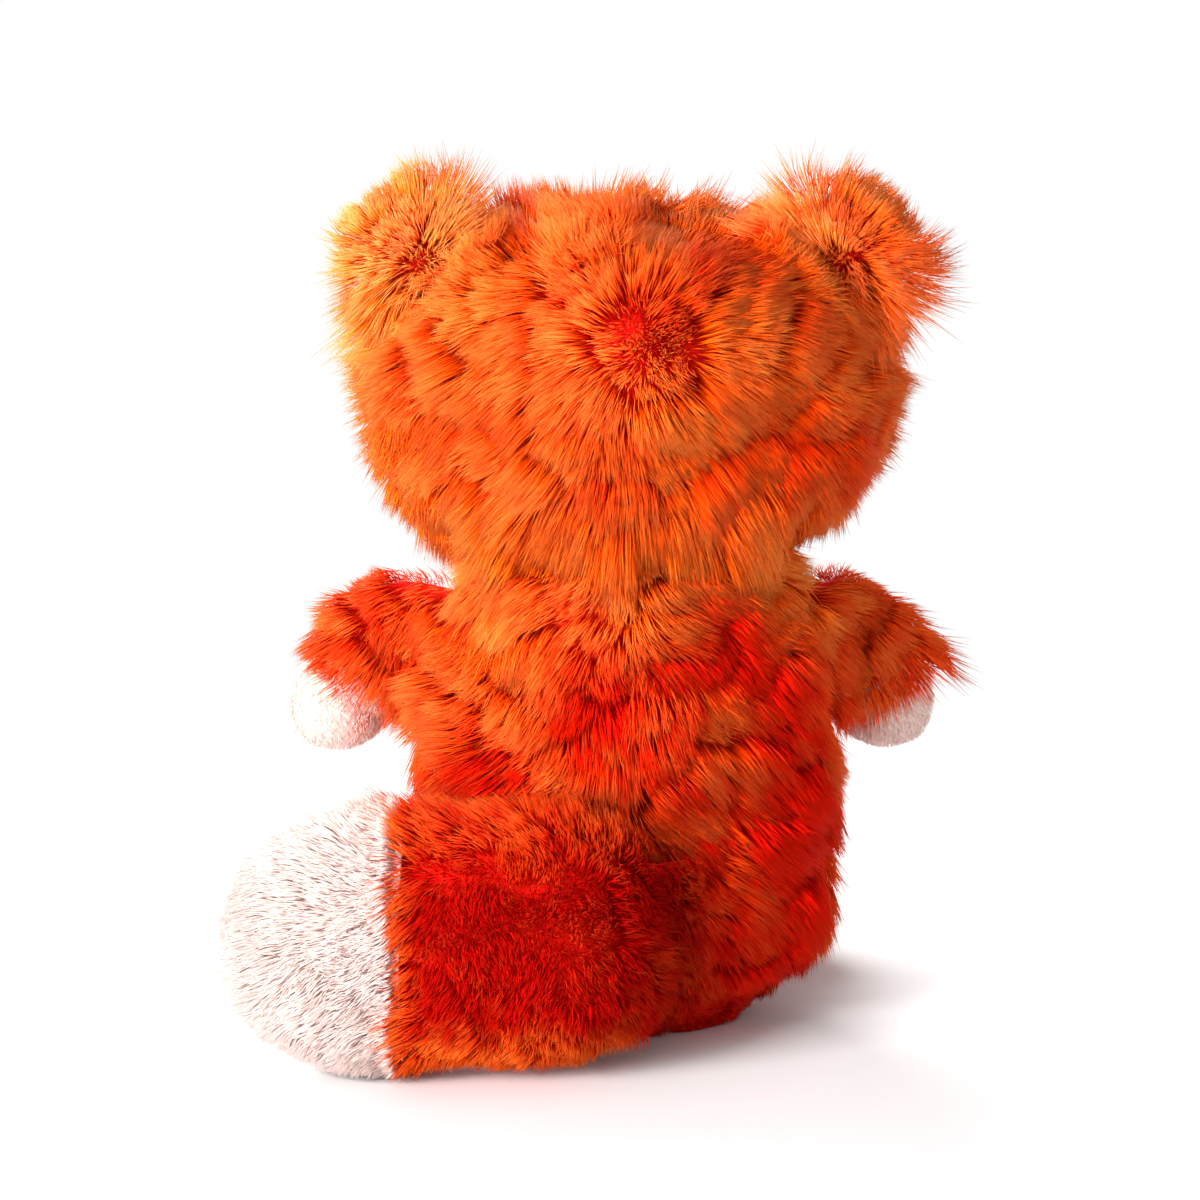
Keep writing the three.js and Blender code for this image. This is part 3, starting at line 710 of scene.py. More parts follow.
@dataclass(frozen=True)
class Pile:
    """How a stretch of plush grows: sizes in metres, shares without a unit."""

    finish: PileFinish
    length: float
    density: float  # fibres per square millimetre
    spread: float = 0.16  # how much lengths differ inside a tuft
    width: float = 0.23 * MM
    lock_size: float = 9 * MM
    lock_ends: float = 0.58  # how far a lock's tips draw level
    lock_pull: float = 0.1  # how far they draw together across the lock
    lock_lift: float = 0.42  # how unevenly the locks stand up
    lock_lean: float = 0.28  # how far they lean aside
    lock_length: float = 0.26  # how much their lengths differ
    lock_tone: float = 0.15
    tuft_size: float = 2.4 * MM
    tuft_pull: float = 0.4  # how far a tuft's tips draw together
    wave: float = 0.12  # of the length
    tone: float = 0.5
    tone_spread: float = 0.12

    def values(self) -> dict[str, Any]:
        """The pile's inputs in its tree, in metres."""
        numbers = {item.name: getattr(self, item.name) for item in fields(self) if item.name != "finish"}
        return numbers | {"density": self.density / MM**2, "material": material_of(self.finish)}


@dataclass
class Growth:
    """What each point of a skin tells the pile: its comb, its length, how dense and how bright it is."""

    comb: Array
    pile: Array | float = 1.0
    cover: Array | float = 1.0
    tone: Array | float = 0.0


class Furred:
    """What has fur."""

    def grow(self, points: Array, normals: Array) -> Growth:
        """Tells the pile how to grow.

        Args:
            points: places on the skin.
            normals: the skin's normals there.

        Returns:
            What the points tell the pile.
        """
        raise NotImplementedError


class PileTree(MeshTree):
    """Grows fibres on a skin and gathers them in tufts and locks."""

    BANDS = 24.0  # tones in the fibres' map
    BAND_SPAN = (0.2, 0.6)  # a fibre's start and width in its band
    MAP_SPAN = (0.02, 0.96)  # its start and length along the map
    TONES = (0.02, 0.98)  # the deepest and the brightest tone
    LOOSE = 0.12  # how far roots stray to the next cell, in cells
    STRAY = 0.14  # how far a fibre leans its own way
    TUFT_LEAN = 0.12
    TUFT_LENGTH = 0.1
    TUFT_TONE = 0.12
    LEAST_PULL = 0.6  # of the pull of its tuft
    BOW = 0.45  # how far fibres bow, of their length
    WAVES = 260.0  # to a metre

    def __init__(self) -> None:
        """Builds the tree."""
        kinds = {item.name: "Float" for item in fields(Pile) if item.name != "finish"}
        super().__init__("plush_pile", kinds | {"floor": "Float", "seed": "Int", "material": "Material"})
        self._end(self._fibres())

    def _chance(self, step: int, low: Any, high: Any) -> Socket:
        """A random number, or vector where the limits are vectors, for each fibre.

        Args:
            step: which draw it is.
            low: the lower limit.
            high: the upper limit.

        Returns:
            The result's socket.
        """
        seed = self.make.math("ADD", self.given["seed"], float(step))
        if isinstance(low, tuple):
            limits, kind, out = {0: low, 1: high}, "FLOAT_VECTOR", 0
        else:
            limits, kind, out = {2: low, 3: high}, "FLOAT", 1
        return self.make.add("FunctionNodeRandomValue", limits | {8: seed}, data_type=kind).outputs[out]

    def _chance_way(self, step: int, reach: float) -> Socket:
        """A random vector for each fibre, up to a reach along each axis."""
        return self._chance(step, (-reach,) * 3, (reach,) * 3)

    def _read(self, name: str, kind: str = "FLOAT") -> Socket:
        """A value that the points carry."""
        return self.make.add("GeometryNodeInputNamedAttribute", {"Name": name}, data_type=kind).outputs[0]

    def _store(self, shape: Socket, name: str, value: Any, kind: str = "FLOAT", on: str = "POINT") -> Socket:
        """Writes a value onto a geometry."""
        inputs = {"Geometry": shape, "Name": name, "Value": value}
        return self.make.add("GeometryNodeStoreNamedAttribute", inputs, data_type=kind, domain=on).outputs[0]

    def _fibre(self) -> Socket:
        """One three-sided spindle of width 1 and of length 1 along Z.

        Returns:
            The spindle, whose points know how far along and on which side they are.
        """
        make, sides = self.make, 3
        spindle = make.add("GeometryNodeMeshUVSphere", {"Segments": sides, "Rings": 2, "Radius": 0.5})
        along = make.math("ADD", make.parts(self.where())["Z"], 0.5)
        count = make.add("GeometryNodeInputIndex").outputs[0]
        side = make.math("MULTIPLY", make.math("MODULO", count, float(sides)), 0.5)
        shape = self._store(spindle.outputs["Mesh"], "along", along)
        shape = self._store(shape, "side", side)
        return make.add("GeometryNodeSetPosition", {"Geometry": shape, "Offset": (0.0, 0.0, 0.5)}).outputs[0]

    def _cells(self, place: Socket, normal: Socket, size: Socket, stray: Socket) -> tuple[Socket, Socket]:
        """Shares the skin out in cells.

        Args:
            place: the roots' places.
            normal: the skin's normals there.
            size: about how wide a cell is.
            stray: a vector for each root, by which it may join a cell next to its own, in cell sizes.

        Returns:
            A vector from -1 to 1 that is each cell's own, and the way along the skin to the cell's middle.
        """
        make = self.make
        near = make.vector("ADD", place, make.scaled(stray, size))
        cells = {"Vector": near, "Scale": make.math("DIVIDE", 1.0, size), "Randomness": 1.0}
        cells = make.add("ShaderNodeTexVoronoi", cells).outputs
        own = make.vector("MULTIPLY_ADD", cells["Color"], (2.0,) * 3, (-1.0,) * 3)
        to_middle = make.vector("SUBTRACT", cells["Position"], place)
        off = make.scaled(normal, make.vector("DOT_PRODUCT", to_middle, normal))
        return own, make.vector("SUBTRACT", to_middle, off)

    def _way(self, normal: Socket, comb: Socket, lock: Socket, tuft: Socket) -> Socket:
        """The way that each fibre grows.

        Args:
            normal: the skin's normal at its root.
            comb: how it is combed there.
            lock: its lock's own vector.
            tuft: its tuft's own vector.

        Returns:
            The unit direction.
        """
        make, given = self.make, self.given
        lift = make.math("MULTIPLY_ADD", make.parts(lock)["X"], given["lock_lift"], 1.0)
        lean = make.scaled(lock, given["lock_lean"])
        lean = make.vector("ADD", lean, make.scaled(tuft, self.TUFT_LEAN))
        way = make.vector("ADD", make.scaled(normal, lift), comb)
        way = make.vector("ADD", make.vector("ADD", way, lean), self._chance_way(1, self.STRAY))
        return make.vector("NORMALIZE", way)

    def _length(self, lock: Socket, tuft: Socket) -> Socket:
        """The length of each fibre, from its lock's and its tuft's own vectors."""
        make, given = self.make, self.given
        uneven = make.math("MULTIPLY_ADD", self._chance(2, -1.0, 1.0), given["spread"], 1.0)
        uneven = make.math("MULTIPLY_ADD", make.parts(lock)["Y"], given["lock_length"], uneven)
        uneven = make.math("MULTIPLY_ADD", make.parts(tuft)["X"], self.TUFT_LENGTH, uneven)
        return make.math("MULTIPLY", make.math("MULTIPLY", given["length"], self._read("pile")), uneven)

    def _gather(self, comb: Socket, to_lock: Socket, to_tuft: Socket) -> Socket:
        """How far each fibre's tip is drawn aside.

        Args:
            comb: how the fur is combed at its root.
            to_lock: the way to the middle of its lock.
            to_tuft: the way to the middle of its tuft.

        Returns:
            The way of the tip.
        """
        make, given = self.make, self.given
        pull = make.math("MULTIPLY", given["tuft_pull"], self._chance(3, self.LEAST_PULL, 1.0))
        flow = make.vector("NORMALIZE", comb)
        ahead = make.scaled(flow, make.vector("DOT_PRODUCT", to_lock, flow))
        across = make.vector("SUBTRACT", to_lock, ahead)
        gather = make.vector("ADD", make.scaled(to_tuft, pull), make.scaled(ahead, given["lock_ends"]))
        return make.vector("ADD", gather, make.scaled(across, given["lock_pull"]))

    def _tone(self, lock: Socket, tuft: Socket) -> Socket:
        """The tone of each fibre, from its lock's and its tuft's own vectors."""
        make, given = self.make, self.given
        own = make.math("MULTIPLY", self._chance(4, -1.0, 1.0), given["tone_spread"])
        tone = make.math("ADD", make.math("ADD", given["tone"], self._read("tone")), own)
        tone = make.math("MULTIPLY_ADD", make.parts(lock)["Z"], given["lock_tone"], tone)
        tone = make.math("MULTIPLY_ADD", make.parts(tuft)["Z"], self.TUFT_TONE, tone)
        return make.math("MINIMUM", make.math("MAXIMUM", tone, self.TONES[0]), self.TONES[1])

    def _fibres(self) -> Socket:
        """Sets straight fibres on the skin.

        Returns:
            The fibres, whose points know their tone and how they bow.
        """
        make, given = self.make, self.given
        cover = make.math("MULTIPLY", given["density"], self._read("cover"))
        skin = {"Mesh": given["shape"], "Density": cover, "Seed": given["seed"]}
        roots = make.add("GeometryNodeDistributePointsOnFaces", skin, distribute_method="RANDOM").outputs
        place, normal = self.where(), roots["Normal"]
        comb = self._read("comb", "FLOAT_VECTOR")
        loose = self._chance_way(5, self.LOOSE)
        lock, to_lock = self._cells(place, normal, given["lock_size"], loose)
        tuft, to_tuft = self._cells(place, normal, given["tuft_size"], loose)
        reach = make.scaled(self._way(normal, comb, lock, tuft), self._length(lock, tuft))
        reach = make.vector("ADD", reach, self._gather(comb, to_lock, to_tuft))
        span = make.vector("LENGTH", reach)
        bow = make.scaled(normal, make.math("MULTIPLY", span, self.BOW))
        points = self._store(roots["Points"], "fibre_tone", self._tone(lock, tuft))
        points = self._store(points, "bow", bow, "FLOAT_VECTOR")
        size = make.join(given["width"], given["width"], span)
        return self.repeat(points, self._fibre(), self.aligned(reach), size)

    def _end(self, fibres: Socket) -> None:
        """Bows and waves the fibres, keeps them off the floor and gives them their map and material."""
        make, given = self.make, self.given
        along = self._read("along")
        hump = make.math("MULTIPLY", along, make.math("SUBTRACT", 1.0, along))
        place = make.vector("ADD", self.where(), make.scaled(self._read("bow", "FLOAT_VECTOR"), hump))
        wave = make.vector("SUBTRACT", make.noise(place, self.WAVES, 1.0).outputs["Color"], (0.5,) * 3)
        amount = make.math("MULTIPLY", make.math("MULTIPLY", along, along), given["wave"])
        amount = make.math("MULTIPLY", amount, make.math("MULTIPLY", given["length"], 2.0))
        bent = make.parts(make.vector("ADD", place, make.scaled(wave, amount)))
        kept = make.join(bent["X"], bent["Y"], make.math("MAXIMUM", bent["Z"], given["floor"]))
        moved = make.add("GeometryNodeSetPosition", {"Geometry": fibres, "Position": kept}).outputs[0]
        band = make.math("FLOOR", make.math("MULTIPLY", self._read("fibre_tone"), self.BANDS))
        start, width = self.BAND_SPAN
        across = make.math("ADD", band, make.math("MULTIPLY_ADD", self._read("side"), width, start))
        across = make.math("DIVIDE", across, self.BANDS)
        start, length = self.MAP_SPAN
        spot = make.join(make.math("MULTIPLY_ADD", along, length, start), across)
        self.end(self._store(moved, "OFBake", spot, "FLOAT2", "CORNER"))

    def grow(self, name: str, skin: Mesh, growth: Growth, values: dict[str, Any]) -> Object:
        """Grows pile on a skin.

        Args:
            name: the new piece's name.
            skin: the skin's mesh.
            growth: what its points tell the pile.
            values: the tree's inputs, by their names.

        Returns:
            The pile as a piece with plain faces.
        """
        count = len(skin.vertices)
        for item in fields(growth):
            wide = item.name == "comb"
            layer = skin.attributes.new(item.name, "FLOAT_VECTOR" if wide else "FLOAT", "POINT")
            told = np.broadcast_to(getattr(growth, item.name), (count, 3) if wide else count)
            layer.data.foreach_set("vector" if wide else "value", told.astype(np.float32).ravel())
        piece = self.run(name, skin, values)
        for extra in ("along", "side", "bow", "fibre_tone", *(item.name for item in fields(growth))):
            if extra in piece.data.attributes:
                piece.data.attributes.remove(piece.data.attributes[extra])
        return piece


Grow = Callable[[Array, Array], Growth]  # from the points of a skin and their normals
Panel = Callable[[Array, Array], Array]  # picks faces, from their middles and normals


def in_quarter(side: Side, half: Half, patch: Panel | None, middles: Array, normals: Array) -> Array:
    """Which faces lie in one quarter of a form, and not on a patch that is let into it."""
    inside = (middles[:, 0] * side.value >= 0) & (middles[:, 1] * half.value >= 0)
    return inside if patch is None else inside & ~patch(middles, normals)


@dataclass
class Cloth:
    """A cut of plush: its form, the body that it rides on and its material slot."""

    form: Form
    body: str
    slot: Slot


class Dresser:
    """Makes skins and their pile, and hangs them on the frame."""

    FILL = 0.8  # how full the skins are stuffed
    FLOOR = 0.3 * MM  # the height that no fibre goes below
    SEED_STEP = 17

    def __init__(self) -> None:
        """Builds the pile's tree and starts the seeds."""
        self.tree = PileTree()
        self.seed = 11

    def skin(self, name: str, cloth: Cloth, finish: Finish, node: str) -> None:
        """Makes a stuffed skin that stands for a node of the frame.

        Args:
            name: the piece's name.
            cloth: its cut.
            finish: its surface.
            node: the node that it stands for.
        """
        piece = place_piece(name, cloth.form.mesh(name), material_of(finish))
        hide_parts(node)
        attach(piece, cloth.body)
        LOG.info("%s: %d faces on %s", name, len(piece.data.polygons), cloth.body)

    def pile(self, name: str, cloth: Cloth, pile: Pile, grow: Grow, panel: Panel | None = None) -> None:
        """Grows pile on a cut of plush, or on one sewn panel of it.

        Args:
            name: the piece's name.
            cloth: the cut.
            pile: how the plush grows.
            grow: what each point tells the pile.
            panel: picks the panel's faces.
        """
        mesh = cloth.form.mesh(f"{name}_skin")
        if panel is not None:
            middles = np.array([face.center for face in mesh.polygons])
            normals = np.array([face.normal for face in mesh.polygons])
            wanted = panel(middles, normals)
            with edited(mesh) as work:
                gone = [face for face, keep in zip(work.faces, wanted) if not keep]
                bmesh.ops.delete(work, geom=gone, context="FACES")
        self.seed += self.SEED_STEP
        values = pile.values() | {"seed": self.seed, "floor": self.FLOOR}
        piece = self.tree.grow(name, mesh, grow(*points_of(mesh)), values)
        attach(piece, cloth.body)
        triangles = sum(len(face.vertices) - 2 for face in piece.data.polygons)
        LOG.info("%s: %d triangles on %s", name, triangles, cloth.body)

    def quarters(
        self, name: str, cloth: Cloth, piles: dict[Half, Pile], grow: Grow, patch: Panel | None = None
    ) -> None:
        """Grows pile on the four sewn quarters of a form, but not on a patch that has its own."""
        for side, half in product(Side, Half):
            panel = partial(in_quarter, side, half, patch)
            self.pile(f"{name}_{half.word}_{side.word}", cloth, piles[half], grow, panel)


PAW_NAP = Pile(
    PAW_PILE, 1.6 * MM, 3.6, width=0.19 * MM, lock_size=5 * MM, lock_ends=0.0, lock_pull=0.0, lock_lift=0.2,
    lock_lean=0.25, lock_length=0.1, tuft_size=1.4 * MM, tuft_pull=0.15,
)
SOFT_LOCKS = {"lock_ends": 0.3, "lock_lift": 0.24, "lock_tone": 0.1, "tuft_pull": 0.25}  # on pale long pile


# Sub-assemblies


@dataclass(frozen=True)
class Locks:
    """The broad locks that the pile falls into on the back and sides, as the solids have them."""

    round: int  # in a row round the form
    crest: float  # the height of one row
    pitch: float = 15 * MM
    sway: float = 0.9
    behind: Fade = Fade(-0.35, 0.25)  # where they begin, as sines of the turn
    trim: float = 0.28  # how much shorter the pile is in the hollows
    # painted shade in the hollows between locks
    shade: float = 0.1  # how much deeper its tone is there

    def dip(self, turn: Array, height: Array) -> Array:
        """How deep the pile dips between its locks.

        Args:
            turn: the places' angles round the form, from its left side.
            height: their heights.

        Returns:
            The depths as shares of the full hollow.
        """
        row = np.pi * (height - self.crest) / self.pitch
        across = np.cos(self.round * turn + self.sway * np.sin(row / 2 + 2 * turn))
        crest = across * np.cos(row + self.sway * np.sin(3 * turn))
        return (1 - crest) / 2 * self.behind(np.sin(turn))


def rim_light_mask(points: Array, normals: Array) -> Array:
    """Where painted rim light goes: 1 on the right where the skin is seen edge on from behind, fading to 0.
    """
    return (1 - smooth(np.abs(normals[:, 1]), 0.1, 0.5)) * (points[:, 0] < 0)


@dataclass(frozen=True)
class HeadFur:
    """How the head's fur lies, how long and how bright it is, and over which stretches that changes."""

    lie: float = 1.5  # how flat it lies
    left: Fade = Fade(2 * MM, 30 * MM, 0.6)  # less so to the left
    calm: Fade = Fade(2 * MM, 22 * MM)  # and not near the whorl
    stir: Fade = Fade(6 * MM, 24 * MM, 0.5)  # near the whorl it is tousled
    stirred: Drift = Drift(9 * MM, 31)
    sway: Drift = Drift(32 * MM, 3, 0.45)
    face: Fade = Fade(-6 * MM, 20 * MM)  # forwards, where it runs from the muzzle
    front: Fade = Fade(8 * MM, 30 * MM)  # forwards, where it is short
    front_trim: float = 0.62
    fall: float = 0.35
    nape: Fade = Fade(-122 * MM, -102 * MM)  # downwards to the neck
    nape_fall: float = 0.9
    nape_length: float = 0.95
    nape_sides: Fade = Fade(18 * MM, 40 * MM, 1.2)  # where it is shorter again
    nape_tone: float = 0.75
    # painted shade at the nape's right
    nape_right: Fade = Fade(4 * MM, 26 * MM, 0.55)  # where it is deeper
    fringe: Fade = Fade(3 * MM, 15 * MM, 0.8)
    fringe_fall: float = 1.1
    fringe_tone: float = 0.15
    ear: Fade = Fade(12 * MM, 26 * MM)
    ear_fan: float = 1.6  # how flat it fans out there
    ear_part: float = 0.7  # how far it leaves its own lie
    ear_tone: float = 0.12
    eye: Fade = Fade(6 * MM, 13 * MM)
    eye_part: float = 1.2
    eye_trim: float = 0.45
    temple: Fade = Fade(34 * MM, 44 * MM, 0.45)  # sideways, where it is long below the ears
    temple_height: float = 152 * MM
    temple_reach: Fade = Fade(-10 * MM, -3 * MM)
    # painted shade: where it is deeper, round the whorl
    whorl: Fade = Fade(3 * MM, 18 * MM, 0.25)  # where it is deeper
    mottle: Drift = Drift(24 * MM, 13, 0.12)
    # painted light: to the left it is brighter
    glow: Fade = Fade(0, 36 * MM, 0.1)  # to the left it is brighter
    # painted rim light at the right silhouette
    painted_rim_tone: float = 0.15
    neck: Fade = Fade(0.9, 0.99)  # underneath, where none grows


@dataclass
class Head(Furred):
    """The wide head: a boxy puff with a whorl of fur at the back."""

    width: float = 105 * MM
    depth: float = 80 * MM
    height: float = 74 * MM
    middle: float = 130 * MM
    seam: float = 100.3 * MM
    squareness: float = 2.5
    inset: float = 5.2 * MM
    face_inset: float = 2.6 * MM
    to_face: Fade = Fade(4 * MM, 26 * MM)  # forwards, where the inset becomes the face's
    neck_gap: float = 0.3 * MM
    locks: Locks = Locks(10, 156.9 * MM)
    whorl: Size = (-2 * MM, 40 * MM, 154 * MM)
    fringe: tuple[float, float] = (7 * MM, 164 * MM)  # beside and above, over the whorl
    muzzle: Size = (0.0, -42 * MM, 121 * MM)
    eye: tuple[float, float] = (19.5 * MM, 134 * MM)  # beside and above
    ear: Size = (44.5 * MM, 3 * MM, 161 * MM)  # where the left ear's fur fans out
    fur: HeadFur = HeadFur()
    pile: Pile = Pile(ORANGE_PILE, 11.5 * MM, 6.3, width=0.23 * MM, tone=0.54)
    face_pile: Pile = Pile(ORANGE_PILE, 11.5 * MM, 4.0, width=0.32 * MM, tone=0.58)

    def _swell(self, share: Any) -> Any:
        """The head's width at a share of its half height, as a share of the whole."""
        return (1 - np.abs(share) ** self.squareness) ** (1 / self.squareness)

    @cached_property
    def form(self) -> Form:
        """The head's skin, drawn in and closed flat at the neck."""
        rings, sides, crown_hole, lowest = 40, 64, 0.03, -0.995
        half = self.height / 2 - self.inset
        low = max(lowest, (self.seam + self.neck_gap - self.middle) / half)
        share = -np.cos(np.linspace(math.acos(-low), np.pi - crown_hole, rings))
        swell = self._swell(share)
        centres = UP * (self.middle + half * share)[:, None]
        wide, deep = self.width / 2 - self.inset, self.depth / 2 - self.inset
        form = Form.loft(centres, ACROSS, BACK, wide * swell, deep * swell, sides)
        form.points[:, 1] -= (self.inset - self.face_inset) * self.to_face(-form.points[:, 1])
        return form

    def face_depth(self, beside: float, height: float) -> float:
        """How far the face stands from the head's middle at a place on it."""
        swell = self._swell((height - self.middle) / (self.height / 2))
        return self.depth / 2 * swell * math.sqrt(1 - (beside / (self.width / 2 * swell)) ** 2)

    def _comb(self, points: Array, normals: Array) -> Array:
        """How the fur is combed from the whorl, from the muzzle and down.

        Args:
            points: places on the skin.
            normals: the skin's normals there.

        Returns:
            The comb at each place.
        """
        fur, from_whorl = self.fur, points - np.array(self.whorl)
        away = np.linalg.norm(from_whorl, axis=1)
        behind = tangent(from_whorl, normals) * ((fur.lie - fur.left(points[:, 0])) * fur.calm(away))[:, None]
        before = tangent(points - np.array(self.muzzle), normals) * fur.lie
        face = fur.face(-points[:, 1])[:, None]
        down = downhill(normals) * (fur.fall + fur.nape_fall * fur.nape(-points[:, 2])[:, None])
        comb = behind * (1 - face) + before * face + down * (1 - normals[:, 2:3].clip(0, 1))
        return comb + fur.sway(points) + fur.stirred(points) * fur.stir.near(away)[:, None]

    def grow(self, points: Array, normals: Array) -> Growth:
        """Fur that radiates from the whorl at the back and from the muzzle at the front."""
        fur = self.fur
        beside, behind, height = points.T
        away = np.linalg.norm(points - np.array(self.whorl), axis=1)
        front = fur.front(-behind)
        nape = fur.nape(-height) * (1 - front)
        fringe = fur.fringe.near(np.hypot(beside - self.fringe[0], height - self.fringe[1])) * (behind > 0)
        dip = self.locks.dip(np.arctan2(behind / self.depth, beside / self.width), height)
        comb = self._comb(points, normals)
        comb += (downhill(normals) * fur.fringe_fall - comb) * fringe[:, None]
        # tone: a random mottle, painted light to the left and at the right rim, painted shade at the whorl,
        # at the nape's right and between locks
        tone = fur.mottle(points)[:, 0] + fur.glow(beside) - fur.whorl.near(away)
        tone += fur.fringe_tone * fringe + fur.painted_rim_tone * rim_light_mask(points, normals)
        tone += (fur.nape_tone - fur.nape_right(-beside)) * nape - self.locks.shade * dip
        temple = fur.temple(np.abs(beside)) * fur.temple_reach(-np.abs(height - fur.temple_height))
        pile = 1 - fur.front_trim * front + temple * (1 - front) - self.locks.trim * dip
        pile += (fur.nape_length - fur.nape_sides(np.abs(beside))) * nape
        cover = 1 - fur.neck(-normals[:, 2])
        for side in Side:
            from_ear = points - np.array(self.ear) * (side.value, 1, 1)
            close = fur.ear.near(np.linalg.norm(from_ear, axis=1))
            fan = tangent(from_ear, normals) * fur.ear_fan
            comb += (fan - comb * fur.ear_part) * close[:, None]
            tone += fur.ear_tone * close
        for side in Side:
            from_eye = points - (side.value * self.eye[0], -self.face_depth(*self.eye), self.eye[1])
            close = fur.eye.near(np.linalg.norm(from_eye, axis=1))
            pile *= 1 - fur.eye_trim * close
            comb += tangent(from_eye, normals) * (fur.eye_part * close)[:, None]
        return Growth(comb, pile, cover, tone)

    def build(self, dress: Dresser) -> None:
        """Makes the head's skin and its four panels of pile."""
        cloth = Cloth(self.form, "head", Slot.ORANGE)
        dress.skin("head_skin", cloth, BACKING, "head_shell")
        dress.quarters("head_pile", cloth, {Half.BACK: self.pile, Half.FRONT: self.face_pile}, self.grow)


@dataclass(frozen=True)
class BodyFur:
    """How the body's fur lies, how long and how bright it is, and over which stretches that changes."""

    lie: float = 1.3  # how flat it lies
    seam: float = 9 * MM  # how wide the parting at the back seam is
    aside: float = 0.25  # how far it falls away from there
    behind: Fade = Fade(-10 * MM, 10 * MM)
    behind_aside: float = 0.75
    sway: Drift = Drift(30 * MM, 5, 0.45)
    tone: float = 0.12
    mottle: Drift = Drift(24 * MM, 15, 0.14)
    # painted shade downwards, to the right and at the partings; painted light below the head
    low: Fade = Fade(-80 * MM, -30 * MM, 0.3)  # downwards it is deeper
    right: Fade = Fade(0, 30 * MM, 0.25)  # and to the right
    parting: Fade = Fade(2 * MM, 15 * MM, 0.35)  # and at the partings
    neck: Fade = Fade(78 * MM, 94 * MM, 0.35)  # below the head it is brighter
    # painted rim light at the right silhouette
    painted_rim_tone: float = 0.3
    seat: Fade = Fade(0.7, 0.95, 0.6)  # underneath it is thinner
    seat_trim: Fade = Fade(0.6, 0.95, 0.5)  # and shorter
    hem: Fade = Fade(-34 * MM, -8 * MM, 0.6)  # downwards it is shorter
    top: Fade = Fade(0.9, 0.99)  # at the top, where none grows
    locks: Fade = Fade(27 * MM, 54 * MM)  # upwards, where the broad locks begin


